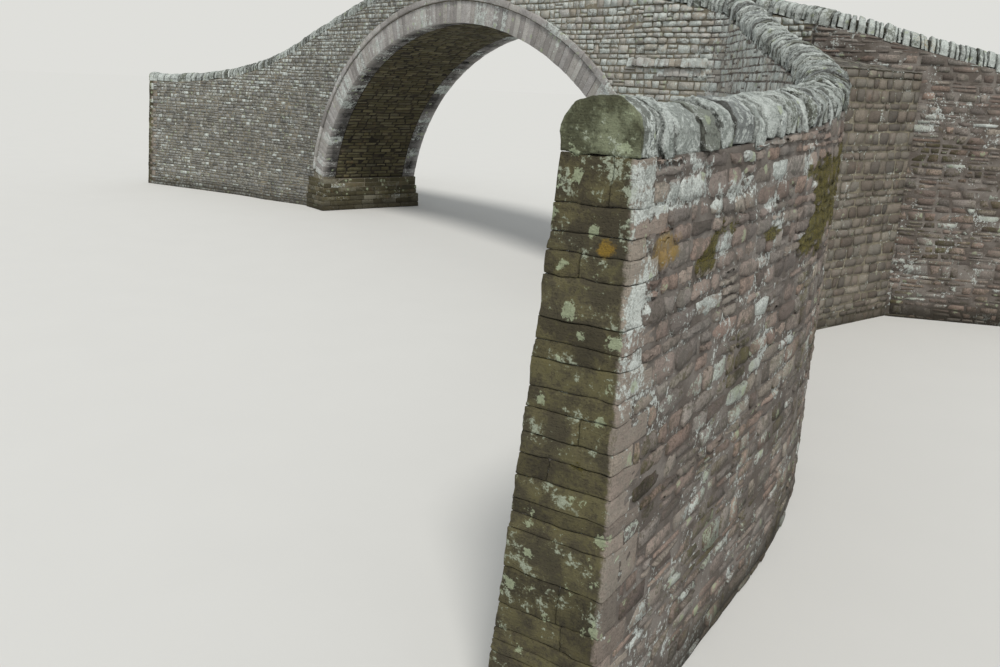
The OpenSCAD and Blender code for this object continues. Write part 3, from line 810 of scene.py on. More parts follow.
FINISHES = {
    "face": partial(stone_finish, "Face rubble", FACE_STONES, crust=0.11, spots=0.2, film=0.5,
                    joint=srgb(136, 132, 121), joint_dirt_and_shade=0.5),
    "far": partial(stone_finish, "Far face rubble", FAR_STONES, crust=0.03, spots=0.2, joint=srgb(98, 97, 91),
                   joint_dirt_and_shade=0.6),
    "wing": partial(stone_finish, "Wing rubble", WING_STONES, crust=0.01, spots=0.1, film=0.3, rust=0.2,
                    soot=0.5, joint=WING_JOINT, joint_dirt_and_shade=0.75),
    "pier": partial(stone_finish, "Pier stone", PIER_STONES, crust=0.0, spots=0.45, film=0.25),
    "coping": partial(stone_finish, "Coping stone", COPING_STONES, crust=0.095, cover=0.85, spots=0.15,
                      soot=0.78, rust=0.08, relief=0.018, beds=(6, 6, 5), joint_dirt_and_shade=0.9),
    "ring": partial(stone_finish, "Ring stone", RING_STONES, crust=0.02, spots=0.1, rust=0.1,
                    joint=srgb(92, 88, 86), joint_dirt_and_shade=0.6),
    "vault": partial(stone_finish, "Vault stone", VAULT_STONES, crust=-0.1, spots=0.0, film=0.15, soot=0.2,
                     beds=(26, 3, 3)),
    "base": partial(stone_finish, "Footing stone", BASE_STONES, crust=-0.03, spots=0.2, wet=0.75),
    "deck": partial(stone_finish, "Deck stone", DECK_STONES, crust=-0.04, spots=0.1, film=0.2),
    "core": partial(stone_finish, "Hearting rubble", CORE_STONES, crust=-0.03, spots=0.1),
    # The cap's end carries an algal film and a crust, both darkened as painted shade.
    "cap": partial(stone_finish, "Cap stone", COPING_STONES, crust=0.0, spots=0.3, rust=0.1, soot=0.6,
                   damp_and_shade=tones((80, 81, 54), (132, 138, 110)), crust_damp_and_shade=srgb(156, 164, 142)),
    "joint": partial(joint_finish, "Joints", srgb(106, 101, 88), srgb(136, 129, 112)),
    "wing_joint": partial(joint_finish, "Wing joints", WING_JOINT, srgb(128, 122, 116), crust=0.03,
                          mossy=0.15),
    "bed_joint": partial(joint_finish, "Coping joints", srgb(40, 40, 34), srgb(62, 60, 50), mossy=0.5),
    "vault_joint": partial(joint_finish, "Vault joints", srgb(36, 32, 26), srgb(60, 54, 44), crust=-0.1,
                           mossy=0.2),
    "deck_joint": partial(joint_finish, "Deck joints", srgb(50, 46, 38), srgb(80, 74, 62), mossy=0.7),
}


@cache
def finish_of(key):
    """Makes each finish once."""
    return FINISHES[key]()


def clip_stones(wing, quads, foot):
    """The corners' s and z, cut off at the coping's bed and at a foot that foot(s) gives."""
    s, z = quads[..., 0], quads[..., 1]
    return s, np.maximum(np.minimum(z, wing.bed(s) - CLEAR), foot(s))


def river_stones(wing):
    """The outer face of one quarter from the crown to the quoins, as corners (s, z) clipped to the wall."""
    def reach(k):
        return wing.sign * CROWN_TEETH[k] - WING_START, wing.length - wing.quoins[k]

    rng = np.random.default_rng(wing.either(41, 43))
    quads = split_thin(rng, lay_courses(rng, wing.levels, reach, 0.11, wing.either(0.48, 0.36)), 0.14)
    before = (quads[..., 0].mean(1) < 0)[:, None]
    s, z = clip_stones(wing, quads, lambda s: np.where(before, SPRING_Z, CLEAR))
    x, raised, inside = ARCH.push_out(s + WING_START, z, RING_DEPTH + HOOD_H / 2)
    inside &= before
    outside = ~inside.all(1)
    return trim(np.where(inside, x - WING_START, s)[outside], np.where(inside, raised, z)[outside])


def road_stones(wing):
    """The road face of one wing, down to the deck as far as the core's end, and then down to the foot."""
    def foot(s):
        x = wing.road(s.mean(1), 0, 0)[0][:, None]
        return np.where(x < CORE_END, deck_height(wing.sign * x) - 0.03, CLEAR)

    rng = np.random.default_rng(wing.either(47, 53))
    sizes = wing.either((0.15, 0.62, 0.02, 0.02), (0.11, 0.4))
    quads = lay_courses(rng, wing.levels, lambda k: (-0.2 * (k % 2), wing.length - wing.quoins[k]), *sizes)
    return trim(*clip_stones(wing, split_thin(rng, quads, 0.16), foot))


def inner_stones(wing):
    """The road face of one half parapet, from the crown to the wing's start."""
    def reach(k):
        return wing.sign * CROWN_TEETH[k + 60] - WING_START, -0.2 * (k % 2)

    rng = np.random.default_rng(wing.either(59, 61))
    quads = lay_courses(rng, wing.levels, reach, 0.1, 0.4)
    return trim(*clip_stones(wing, quads, lambda s: deck_height(wing.sign * (s + WING_START)) - 0.03))


def own(rng, s, spread_of):
    """A random share for each stone."""
    return rng.normal(0, spread_of, (len(s), 1))


def face_growth(wing):
    """Lichens on an open river face: more of them high up and in drifts, and whole stones that are whiter."""
    def grow(s, z, points, rng):
        white = 0.9 * (rng.random((len(s), 1)) < 0.07)
        lichen = 0.42 + 0.2 * ripple(points, 2.6, 71) + 0.12 * (1 - smooth(wing.bed(s) - z, 0.2, 1.5)) + white
        moss = -0.02 + 0.18 * ripple(points, 1.7, 73) + 0.3 * (1 - smooth(z, 0.2, 1.3))
        return lichen + own(rng, s, 0.12), moss, -0.12 + 0.22 * ripple(points, 3.3, 79)
    return grow


def road_patches(back, depth):
    """White, moss and ochre on a near wing's road face, by the distance back and the depth below the bed.

    A white band with flecks lies near the end, ochre below them, and moss in tufts and along the sweep.
    """
    def fleck(at_depth, high_by, at_back, long_by):
        return bell(depth, at_depth, high_by) * bell(back, at_back, long_by)

    hang = depth + 0.03 * np.sin(3.1 * back)
    band = 0.8 * smooth(hang, 0.15, 0.21) * (1 - smooth(hang, 0.32, 0.38)) * (1 - smooth(back, 1.7, 2.2))
    flecks = fleck(0.1, 0.07, 0.1, 0.25) + fleck(0.1, 0.07, 1.0, 0.2) + fleck(0.66, 0.07, 2.8, 0.15)
    flecks = flecks + fleck(0.48, 0.06, 2.5, 0.12) + fleck(0.32, 0.1, 2.8, 0.12) + fleck(0.32, 0.1, 3.5, 0.15)
    corner = (bell(depth, 0.88, 0.2) + 0.6 * bell(depth, 1.3, 0.18)) * (1 - smooth(back, 0.25, 0.45))
    drift = back + 0.35 * np.sin(7 * depth) + 0.15 * np.sin(19 * depth + 2)
    turn = smooth(drift, 2.9, 4.1) * (1 - smooth(back, 6.8, 8.5))
    turn = turn * smooth(depth, 0.15, 0.45) * (1 - smooth(depth, 0.9, 1.6))
    tufts = fleck(0.55, 0.14, 1.65, 0.45) + fleck(0.74, 0.12, 2.6, 0.4) + fleck(0.74, 0.12, 1.2, 0.25)
    white = np.maximum(np.maximum(band, flecks), corner)
    return white, 0.84 * turn + 0.88 * tufts, fleck(0.55, 0.14, 0.5, 0.36)


def road_growth(quarter):
    """Growth on a near wing's road face, with its moss more even on the back wing."""
    wing, back_wing = quarter.wing, quarter.side == "back"

    def grow(s, z, points, rng):
        depth = wing.bed(s) - z
        white, moss, gold = road_patches(wing.length - s, depth)
        drops = 0.5 * (rng.random((len(s), 1)) < 0.05)
        lichen = 0.26 + 0.66 * white + drops + 0.18 * ripple(points, 0.8, 83)
        lichen = lichen + 0.18 * ripple(points, 0.25, 87)
        moss = moss * (0.45 if back_wing else 1) - 0.06
        moss = moss + 0.24 * ripple(points, 0.7, 89) + 0.12 * smooth(depth, 0.8, 2)
        ochre = -0.12 + 0.95 * gold + 0.2 * ripple(points, 0.9, 97)
        if back_wing:
            moss, ochre = moss + 0.12 * (1 - smooth(depth, 0.4, 1.2)), ochre + 0.12
        # Darker towards the foot: a wet algal film and painted shade.
        damp_and_shade = 0.38 * smooth(depth, 0.6, 1.7) + 0.14 * ripple(points, 1.1, 131)
        return lichen + own(rng, s, 0.17), moss, ochre, damp_and_shade
    return grow


def plain_growth(lichen, moss, ochre):
    """Even growth with a little drift."""
    def grow(u, z, points, rng):
        drift = ripple(points, 1.3, 101)
        mossy = moss + 0.2 * ripple(points, 0.9, 103)
        return lichen + 0.2 * drift + own(rng, u, 0.12), mossy, ochre + 0.25 * drift
    return grow


def pier_growth(wing):
    """Growth on an end pier: an algal film with painted shade over its end, lichen towards the road, an ochre
    patch under the cap.
    """
    def grow(s, z, points, rng):
        depth, back = wing.end_z - COPING_H - z, wing.length - s
        white, _, gold = road_patches(back, depth)
        outer = 1 - smooth(back, 0.02, 0.05)
        corner = np.linalg.norm(points - np.stack(wing.road(s, z, 0), -1), axis=-1)
        end_lichen = 0.46 + 0.22 * ripple(points, 0.3, 107) + 0.3 * white * (1 - smooth(corner, 0.01, 0.09))
        lichen = outer * end_lichen + (1 - outer) * (0.43 + 0.7 * white + 0.15 * ripple(points, 0.25, 87))
        moss = 0.3 * ripple(points, 0.8, 113) + 0.12 * smooth(depth, 1, 3) - 0.02
        patch = bell(depth, 0.51, 0.075) * bell(corner, 0.15, 0.085)
        ochre = -0.15 + outer * 1.05 * patch + (1 - outer) * 0.9 * gold
        # Last value: an algal film with painted shade over the pier's end, strongest away from the road
        # corner.
        return lichen + own(rng, s, 0.08), moss, ochre, outer * (0.35 + 0.65 * smooth(corner, 0.02, 0.08))
    return grow


def rough_share(quads, wing):
    """Which outer stones belong to the rough, projecting patch of the near spandrel, below the coping."""
    s, z = quads.mean(1).T
    depth = wing.bed(s) - z
    edge = 0.25 * np.sin(5 * s) + 0.2 * np.sin(9 * z)
    return (np.abs(s + 1.5 + edge) < 1.15) & (depth + edge < 0.75) & wing.near


def lay_rubble(settings):
    """Rubble on the spandrels, and on the parapets and wings outside and inside."""
    stand, joint = (settings.proud_low, settings.proud_high), settings.joint
    for quarter in QUARTERS:
        wing, name, rng = quarter.wing, quarter.name, quarter.rng(7)
        finish, slot = wing.either(("face", "wing_rubble"), ("far", "face_rubble"))
        river, road = quarter.mirror(wing.river), quarter.mirror(wing.road)
        grow = face_growth(wing)
        quads = river_stones(wing)
        before = quads[..., 0].mean(1) < 0
        rough = rough_share(quads, wing) & before
        face = Shell().pillows(rng, quads[before & ~rough], river, grow, stand, joint)
        face.pillows(rng, quads[rough], river, grow, (0.012, 0.055), joint, (6, 5), rounding=0.3)
        face.build(f"face_rubble_{name}", finish, "face_rubble")
        outer = Shell().pillows(rng, quads[~before], river, grow, stand, joint)
        outer.build(f"river_rubble_{name}", finish, slot)
        parapet = Shell().pillows(rng, inner_stones(wing), road, grow, stand, joint)
        parapet.build(f"parapet_rubble_{name}", finish, "face_rubble")
        quads = road_stones(wing)
        middle = quads.mean(1)
        fine = (wing.bed(middle[:, 0]) - middle[:, 1] < 2.4) & quarter.hero
        sizes = (stand, joint)
        if wing.near:
            grow, sizes = road_growth(quarter), ((0.003, 0.022), settings.wing_joint)
        inner = Shell().pillows(rng, quads[fine], road, grow, *sizes, (8, 6), 0.012, 0.16, 0.009)
        inner.pillows(rng, quads[~fine], road, grow, *sizes, (5, 4), 0.014, 0.2)
        inner.build(f"road_rubble_{name}", wing.either("wing", "far"), slot)
        if wing.near:
            lay_mortar(quarter, grow)


def lay_mortar(quarter, grow):
    """Mortar almost flush with a near wing's road face, from the deck or the foot to the coping's bed."""
    wing, place = quarter.wing, quarter.mirror(quarter.wing.road)
    columns, rows = (150, 30) if quarter.hero else (60, 14)

    def over(s, b, front):
        """Down from the bed by b^1.5 of the height, on a face rippled by a product of two sines."""
        x = wing.road(s, 0, 0)[0]
        top, foot = wing.bed(s) - 0.002, np.where(x < CORE_END, deck_height(x) - 0.02, CLEAR)
        z = top - (top - foot) * b**1.5
        stand = 0.004 + 0.003 * np.sin(9 * s + 5 * z) * np.sin(11 * z - 4 * s)
        return place(s, z, np.where(front, stand, -0.015))

    stations = np.linspace(0.02, wing.length - 0.22, columns)
    sheet = Shell().sheet(stations, np.linspace(0, 1, rows), over, grow)
    sheet.build(f"mortar_{quarter.name}", "wing_joint", "wing_rubble")


def coping_cuts(rng, start, stop, thin, thick):
    """Joints along a coping: thin stones over the bridge, and up to twice as thick ones near a wing's end."""
    cuts = [start]
    while cuts[-1] < stop - thin:
        growth = 1 + 1.4 * float(smooth(cuts[-1], stop - 4.5, stop - 1.5))
        cuts.append(cuts[-1] + (thin + (thick - thin) * rng.beta(1.3, 1.9)) * growth)
    return np.array(cuts[:-1] + [stop])


def coping_place(quarter, rng, middle, thick, least):
    """Places upright stones: a runs from -1 to 1 across the half round and b from the bed to the top.

    Each stone is pinched towards its top, so the joints gape, and has its own height, width, lean, twist
    and foot.
    """
    wing, number = quarter.wing, len(middle)
    middle, thick = middle[:, None], thick[:, None]
    tall = rng.uniform(least, 0.99, (number, 1))
    narrow = rng.uniform(0.9, 1.0, (number, 1))
    aside = rng.uniform(-1, 1, (number, 1)) * (1 - narrow) * COPING_R
    lean, twist = rng.normal(0.03, 0.06, (2, number, 1))
    pinch = np.minimum(0.04 / thick, 0.34) * rng.uniform(0.1, 1.5, (number, 1))
    foot = rng.uniform(-0.045, 0.03, (number, 2, 1))

    def place(s, a, b):
        rise = b * (COPING_SIDE + (COPING_H - COPING_SIDE) * np.cos(a * math.pi / 2)) * tall
        rise = rise + (1 - b) * np.where(a < 0, foot[:, 0], foot[:, 1])
        across = COPING_R * narrow * np.sin(a * math.pi / 2) + aside * b
        squeeze = pinch * smooth(rise, 0.05, COPING_H) + 0.3 * pinch * np.abs(a) ** 3
        bent = middle + (s - middle) * (1 - squeeze) + lean * rise + 0.5 * twist * a * COPING_R
        furthest = np.minimum(middle + 0.7 * thick, wing.length - END_STONE_L)
        bent = np.clip(bent, middle - 0.7 * thick, furthest)
        return wing.beside(bent, WALL_T / 2 + across, wing.bed(s) + rise)
    return quarter.mirror(place)


def lay_bed(name, node, stations, place):
    """The bed inside a coping: the coping's own section, smaller by the depth of a joint."""
    depth = 0.075
    turn = np.linspace(math.pi, 0, 13)
    across = WALL_T / 2 + (COPING_R - depth) * np.cos(turn)
    up = COPING_SIDE - 0.02 + (COPING_H - COPING_SIDE - depth) * np.sin(turn)
    foot = [[WALL_T / 2 - COPING_R + depth, 0], [WALL_T / 2 + COPING_R - depth, 0]]
    profile = np.concatenate([foot[:1], np.stack([across, up], -1), foot[1:]])
    Shell().sweep(stations, profile, place).build(name, "bed_joint", "coping_stone", [node])


def lay_copings(settings):
    """Stones on edge with a rounded top, from the crown to each end stone, and a bed inside them."""
    parapets = {side: Shell() for side, _ in SIDES}
    scale = (1, COPING_R, COPING_H)
    for quarter in QUARTERS:
        wing, name, rng = quarter.wing, quarter.name, quarter.rng(13)
        node, end = f"wing_coping_{name}", wing.length - END_STONE_L
        cuts = coping_cuts(rng, -WING_START, end, settings.coping_thin, settings.coping_thick)
        middle, thick = (cuts[1:] + cuts[:-1]) / 2, np.diff(cuts)
        gap = rng.uniform(0.003, 0.014, (2, len(middle)))
        gap = gap * (1 + smooth(cuts[:-1], wing.length - 6, wing.length - 2))
        corners = box_corners(cuts[:-1] + gap[0], cuts[1:] - gap[1], -1, 1, 0, 1)
        least, grow = 0.84, plain_growth(0.45, -0.12, -0.3)
        if name == "back_near":
            least, grow = 0.93, plain_growth(0.55, 0.16, 0.12)
        on_bridge = middle < 0
        place = coping_place(quarter, rng, middle[on_bridge], thick[on_bridge], least)
        parapets[quarter.side].blocks(rng, corners[on_bridge], place, (3, 8, 2), 0.016, 0.007, grow, scale,
                                      gap_dirt_and_shade=0.65)
        place = coping_place(quarter, rng, middle[~on_bridge], thick[~on_bridge], least)
        sizes = ((6, 18, 4), 0.026, 0.014) if quarter.hero else ((3, 8, 2), 0.018, 0.007)
        stones = Shell().blocks(rng, corners[~on_bridge], place, *sizes, grow, scale, gap_dirt_and_shade=0.75)
        stones.build(f"coping_stones_{name}", "coping", "coping_stone", [node])

        def on_wing(s, across, rise, wing=wing):
            return wing.beside(s, across, wing.bed(s) + rise)
        lay_bed(f"coping_bed_{name}", node, np.linspace(0, end, 60), quarter.mirror(on_wing))

    for side, sy in SIDES:
        def on_parapet(x, across, rise, sy=sy):
            z = np.where(x < 0, FAR.bed(-x - WING_START), NEAR.bed(x - WING_START))
            return x, sy * (across - HALF_W), z + rise
        parapets[side].build(f"coping_stones_{side}", "coping", "coping_stone", [f"coping_{side}"])
        lay_bed(f"coping_bed_{side}", f"coping_{side}", np.linspace(-WING_START, WING_START, 90), on_parapet)


def pier_ends(rng, wing, top):
    """Ends of an end pier's blocks along the wing, across it as parts of its thickness, and upwards."""
    found = []
    for first, past, back in wing.blocks:
        z0, z1 = wing.levels[first] + HALF_JOINT, min(wing.levels[past], top) - HALF_JOINT
        if z1 - z0 < 0.03:
            continue
        cuts = [0, 1]
        if rng.random() < (0.5 if z0 < top - 1.2 else 0.25):
            cuts = [0, rng.uniform(0.3, 0.7), 1]
        for v0, v1 in zip(cuts[:-1], cuts[1:]):
            found.append((wing.length - back + CLEAR, wing.length - rng.uniform(0.007, 0.016),
                          v0 + HALF_JOINT * (v0 > 0), v1 - HALF_JOINT * (v1 < 1), z0, z1))
    return np.array(found).T


def lay_end_piers():
    """Quoins that end each wing, long and short by turns, their heart, and the half-round stone on top."""
    for quarter in QUARTERS:
        wing, name, rng = quarter.wing, quarter.name, quarter.rng(17)
        top, last, node = wing.end_z - COPING_H, wing.length, f"end_pier_{name}"

        def across_at(s, v, z, wing=wing, top=top, last=last):
            """v runs from 0 on the river face to 1 on the road face, a little proud of the near walls'."""
            river = -np.maximum(top - z, 0) / BATTER
            road = WALL_T + 0.008 * smooth(last - s, 0.02, 0.1) * wing.near
            return wing.beside(s, river + v * (road - river), z)

        def half_round(s, a, b, wing=wing, top=top):
            """a runs from -1 to 1 across the half round and b from the bed to the top."""
            up = np.maximum(np.cos(a * math.pi / 2), 0) ** 0.9
            rise = 0.985 * (b * (COPING_SIDE + (COPING_H - COPING_SIDE) * up))
            return wing.beside(s, WALL_T / 2 + 0.99 * END_STONE_R * np.sin(a * math.pi / 2), top + rise)

        def cap_growth(s, z, points, rng, last=last):
            end = smooth(s, last - 0.05, last - 0.02)
            lichen = 0.72 - 0.22 * end + 0.1 * ripple(points, 0.3, 127)
            # The cap's end gets less pale lichen and an algal film, both partly painted shade on the end that
            # faces away from the light.
            return lichen, -0.05 + 0.2 * ripple(points, 0.3, 109), -0.3, 0.95 * end

        place = quarter.mirror(across_at)
        corners = box_corners(*pier_ends(rng, wing, top))
        divisions = (7, 11, 7) if quarter.hero else (3, 5, 3)
        quoins = Shell().blocks(rng, corners, place, divisions, 0.009, 0.006, pier_growth(wing), (1, 0.7, 1),
                                gap_dirt_and_shade=0)
        quoins.build(f"quoins_{name}", "pier", "pier_stone", [node])
        corners = box_corners(last - END_PIER_L, last - 0.03, CLEAR, 0.98, 0.003, top - 0.003)
        heart = Shell().blocks(rng, corners, place, (2, 2, 8), 0.01, 0, lambda *spot: ())
        heart.build(f"pier_heart_{name}", wing.either("wing_joint", "joint"), "pier_stone", [node])
        corners = box_corners(last - END_STONE_L, last - 0.006, -1, 1, 0, 1)
        cap = Shell().blocks(rng, corners, quarter.mirror(half_round), (10, 30, 14), 0.02, 0.006, cap_growth,
                             (1, END_STONE_R, COPING_H), gap_dirt_and_shade=0)
        cap.build(f"end_cap_{name}", "cap", "coping_stone", [f"end_stone_{name}"])


def lay_arch(settings):
    """Thin ring stones on both faces, the hood mould over them, and the soffit between."""
    thick = settings.ring_thick
    for side, sy in SIDES:
        def place(length, out, w, sy=sy):
            x, z = ARCH.along(length, out)
            return x, -sy * (HALF_W + w), z

        # Painted shade on each ring stone's soffit side, behind the face and near the intrados.
        def soffit_shade(spot):
            return 1.5 * smooth(-spot[..., 2], -0.01, 0.05) * (1 - smooth(spot[..., 1], 0.1, 0.3))

        rng = np.random.default_rng([19, sy + 1])
        cuts = ARCH.cuts(rng, int(ARCH.total / thick) + 2, 0.78 * thick, 1.22 * thick, 0.2, 0.2)
        out = rng.uniform(-0.018, -0.009, len(cuts) - 1)
        stand = rng.uniform(0.01, 0.02, len(cuts) - 1)
        corners = box_corners(cuts[:-1] + HALF_JOINT, cuts[1:] - HALF_JOINT, out, RING_DEPTH - 0.012,
                              -WALL_T + 0.003, stand)
        ring = Shell().blocks(rng, corners, place, (3, 4, 4), 0.009, 0.003, plain_growth(0.45, -0.05, -0.3),
                              painted_shade=soffit_shade)
        ring.build(f"ring_stones_{side}", "ring", "ring_stone", sharp=50)

        cuts = ARCH.cuts(rng, 80, 0.34, 0.6, 0.6, 0.35)
        stand = HOOD_OUT - rng.uniform(0.0, 0.012, len(cuts) - 1)
        tall = RING_DEPTH + HOOD_H - rng.uniform(0.0, 0.03, len(cuts) - 1)
        corners = box_corners(cuts[:-1] + 0.003, cuts[1:] - 0.003, RING_DEPTH + 0.012, tall, -0.05, stand)
        hood = Shell().blocks(rng, corners, place, (5, 4, 4), 0.014, 0.005, plain_growth(0.4, 0.0, -0.3))
        hood.build(f"hood_stones_{side}", "ring", "ring_stone", [f"hood_mould_{side}"], sharp=50)

    def soffit(y, length, w):
        x, z = ARCH.along(length, -w)
        return x, y, z

    rng = np.random.default_rng(29)
    rows = ARCH.cuts(rng, 240, 0.09, 0.16, 0.1, 0.02)
    quads = lay_courses(rng, rows, lambda k: (-INNER_W, INNER_W), 0.2, 0.7, 0.0)
    vault = Shell().pillows(rng, quads, soffit, plain_growth(0.2, 0.05, -0.3), (0.002, 0.014), settings.joint)
    vault.build("vault_stones", "vault", "vault_stone")


# Each footing course's foot, top and distance out past the wall
FOOTING_COURSES = ((0.003, 0.16, 0.1), (0.16, 0.32, 0.096), (0.32, 0.468, 0.1), (0.472, 0.61, 0.045),
                   (0.61, 0.748, 0.041), (0.752, 0.9, 0.012), (0.9, SPRING_Z - 0.003, 0.012))
FOOTING_DEEP = 0.3


def lay_footings():
    """Long squared courses round each abutment, stepping out twice towards the foot."""
    face = SPAN / 2 - LEDGE
    for wing in (NEAR, FAR):
        rng = np.random.default_rng([37, wing.sign + 1])
        shell = Shell()
        for number, (z0, z1, out) in enumerate(FOOTING_COURSES):
            half = HALF_W + out - (FOOTING_DEEP if number % 2 else 0)
            start = face - out + (0 if number % 2 else FOOTING_DEEP)
            for flank, a, b in ((0, -half, half), (-1, start, WING_START), (1, start, WING_START)):
                def place(along, deep, z, out=out, sx=wing.sign, flank=flank):
                    """On the face towards the arch, or on the front or back flank."""
                    if flank:
                        return sx * along, flank * (HALF_W + out - deep), z
                    return sx * (face - out + deep), along, z

                cuts = cuts_between(rng, 16, 0.28, 0.75, a, b, 0.2)
                sunk = rng.uniform(0, 0.012, len(cuts) - 1)
                corners = box_corners(cuts[:-1] + CLEAR, cuts[1:] - CLEAR, sunk, FOOTING_DEEP,
                                      z0 + HALF_JOINT, z1 - HALF_JOINT)
                shell.blocks(rng, corners, place, (4, 3, 3), 0.016, 0.004, plain_growth(0.3, 0.2, -0.2))
        shell.build(f"footing_stones_{wing.end}", "base", "footing_stone", [f"footing_{wing.end}"], sharp=50)


def lay_deck():
    """Worn setts in rows across the deck, between the parapets and then between the wings."""
    rng = np.random.default_rng(67)
    rows = cuts_between(rng, 200, 0.14, 0.24, -CORE_END, CORE_END)

    def reach(k):
        x = (rows[k] + rows[k + 1]) / 2
        half = float((FAR if x < 0 else NEAR).half_road(abs(x)))
        return -half, half

    quads = lay_courses(rng, rows, reach, 0.16, 0.4, 0.008, 0.006)
    quads = trim(quads[..., 0], np.clip(quads[..., 1], -CORE_END + CLEAR, CORE_END - CLEAR))
    setts = Shell().pillows(rng, quads, lambda y, x, w: (x, y, deck_height(x) + w),
                            plain_growth(0.2, 0.05, -0.3), (0.001, 0.012), 0.008, (4, 4), 0.012, 0.2)
    setts.build("deck_setts", "deck", "deck_stone")


def lay_core_ends():
    """Coarse rubble over the ends of the hearting between the wings."""
    for wing in (NEAR, FAR):
        def place(y, z, w, sx=wing.sign):
            return sx * (CORE_END + w), y, z

        rng = np.random.default_rng([73, wing.sign + 1])
        half = float(wing.half_road(CORE_END))
        top = float(deck_height(np.array(wing.sign * CORE_END)))
        levels = course_levels([79, wing.sign + 1], 0.13, 0.26, top, top)
        quads = lay_courses(rng, levels, lambda k, half=half: (-half, half), 0.16, 0.55, 0.014, 0.012)
        quads = trim(quads[..., 0], np.clip(quads[..., 1], CLEAR, top - CLEAR))
        rubble = Shell().pillows(rng, quads, place, plain_growth(0.25, 0.12, -0.2), (0.004, 0.026), 0.014,
                                 (6, 5), 0.014, 0.12)
        rubble.build(f"hearting_rubble_{wing.end}", "core", "core_rubble")


def lay_corbels():
    """Two thin courses that oversail the near face below the coping, each drawn in towards its top, with
    painted shade at the foot of each stone.
    """
    rng = np.random.default_rng(83)
    shell = Shell()
    for z, out_bed, out_top, run in ((CORBEL_Z, 2 * CORBEL_OUT, CORBEL_OUT, CORBEL_RUN),
                                     (CORBEL_Z - CORBEL_H, CORBEL_OUT, 0, CORBEL_RUN - CORBEL_CUT)):
        # Painted shade along the lowest few centimetres of each corbel stone, below its oversail.
        def painted_underside_shade(spot, z=z):
            return 2 * (1 - smooth(spot[..., 2], z + 0.005, z + 0.03))

        cuts = cuts_between(rng, 24, 0.1, 0.26, WING_START - run, WING_START)
        stand = out_bed - rng.uniform(0, 0.014, len(cuts) - 1)
        top = z + CORBEL_H - rng.uniform(0.004, 0.03, len(cuts) - 1)
        corners = box_corners(cuts[:-1] + CLEAR, cuts[1:] - CLEAR, -0.03, stand, z + 0.002, top)
        corners[:, :, 1, 1, 1] -= out_bed - out_top - 0.016
        shell.blocks(rng, corners, lambda x, w, z: (x, -HALF_W - w, z), (5, 4, 5), 0.02, 0.008,
                     plain_growth(0.45, -0.05, -0.3), painted_shade=painted_underside_shade)
    shell.build("corbel_stones", "face", "wing_rubble", ["corbel_courses"], sharp=50)


def dress_backing():
    """Gives the solids behind the stones the look of joints."""
    wings = [f"{piece}_{side}_near" for piece in ("shoulder", "wing") for side, _ in SIDES]
    for name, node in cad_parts.items():
        key = {"vault": "vault_joint", "deck": "deck_joint"}.get(name.split("_")[0], "joint")
        node.data.materials.clear()
        node.data.materials.append(finish_of("wing_joint" if name in wings else key))


def place_camera():
    """The camera stands on the near bank, beside the road, and looks down a little towards the far end."""
    yaw, pitch, roll = (math.radians(angle) for angle in CAMERA_TURN)
    forward = Vector((-math.sin(yaw) * math.cos(pitch), math.cos(yaw) * math.cos(pitch), -math.sin(pitch)))
    level = Vector((math.cos(yaw), math.sin(yaw), 0))
    upward = level.cross(forward)
    right = level * math.cos(roll) + upward * math.sin(roll)
    up = upward * math.cos(roll) - level * math.sin(roll)
    data = bpy.data.cameras.new("Camera")
    data.sensor_width, data.lens = 36, LENS
    data.clip_start, data.clip_end = 0.05, 1000
    camera = bpy.data.objects.new("Camera", data)
    camera.matrix_world = Matrix.Translation(CAMERA_AT) @ Matrix((right, up, -forward)).transposed().to_4x4()
    bpy.context.scene.collection.objects.link(camera)
    bpy.context.scene.camera = camera


def lay_floor(settings):
    """A pale round floor."""
    f = Finish("Pale floor", 1.0, 0)
    colour = f.shaded(settings.floor_colour, 1 + 0.03 * f.noise(0.8, 2))
    f.done(colour, f.noise(40, 2), 0.0005)
    turn = np.linspace(0, TAU, 97)[:-1]
    rim = np.stack([settings.floor_radius * np.cos(turn), settings.floor_radius * np.sin(turn), 0 * turn], -1)
    mesh = bpy.data.meshes.new("stage_floor")
    mesh.from_pydata(rim.tolist(), [], [list(range(len(rim)))])
    mesh.materials.append(f.material)
    floor = bpy.data.objects.new("stage_floor", mesh)
    bpy.context.scene.collection.objects.link(floor)


def light_stage(settings):
    """An even pale world, with its own colour for the camera and reflections, and one broad soft sun."""
    world = bpy.data.worlds.new("Studio")
    bpy.context.scene.world = world
    world.use_nodes = True
    sky = Nodes(world.node_tree)
    lit = sky.tree.nodes["Background"]
    sky.feed(lit.inputs["Color"], settings.world_colour)
    sky.feed(lit.inputs["Strength"], settings.world_strength)
    seen = sky.node("ShaderNodeBackground", {}, {"Color": settings.backdrop_colour})
    rays = [sky.node("ShaderNodeLightPath", {}, {}, kind) for kind in ("Is Camera Ray", "Is Glossy Ray")]
    either = rays[0].math("MAXIMUM", *rays)
    swap = sky.node("ShaderNodeMixShader", {}, (either, Value(sky, lit.outputs[0]), seen))
    sky.feed(sky.tree.nodes["World Output"].inputs["Surface"], swap)

    sun = bpy.data.lights.new("Soft sun", "SUN")
    sun.energy = settings.sun_strength
    sun.angle = math.radians(14)
    sun.color = (1.0, 0.97, 0.92)
    lamp = bpy.data.objects.new("Soft sun", sun)
    aim = Vector((settings.sun_x, settings.sun_y, settings.sun_z))
    lamp.matrix_world = aim.to_track_quat("Z", "Y").to_matrix().to_4x4()
    bpy.context.scene.collection.objects.link(lamp)


def length_setting(name, description, default, least=0):
    return FloatProperty(name=name, description=description, default=default, min=least, unit="LENGTH")


def colour_setting(name, description, default):
    return FloatVectorProperty(name=name, description=description, default=default, subtype="COLOR")


def plain_setting(name, description, default):
    return FloatProperty(name=name, description=description, default=default)


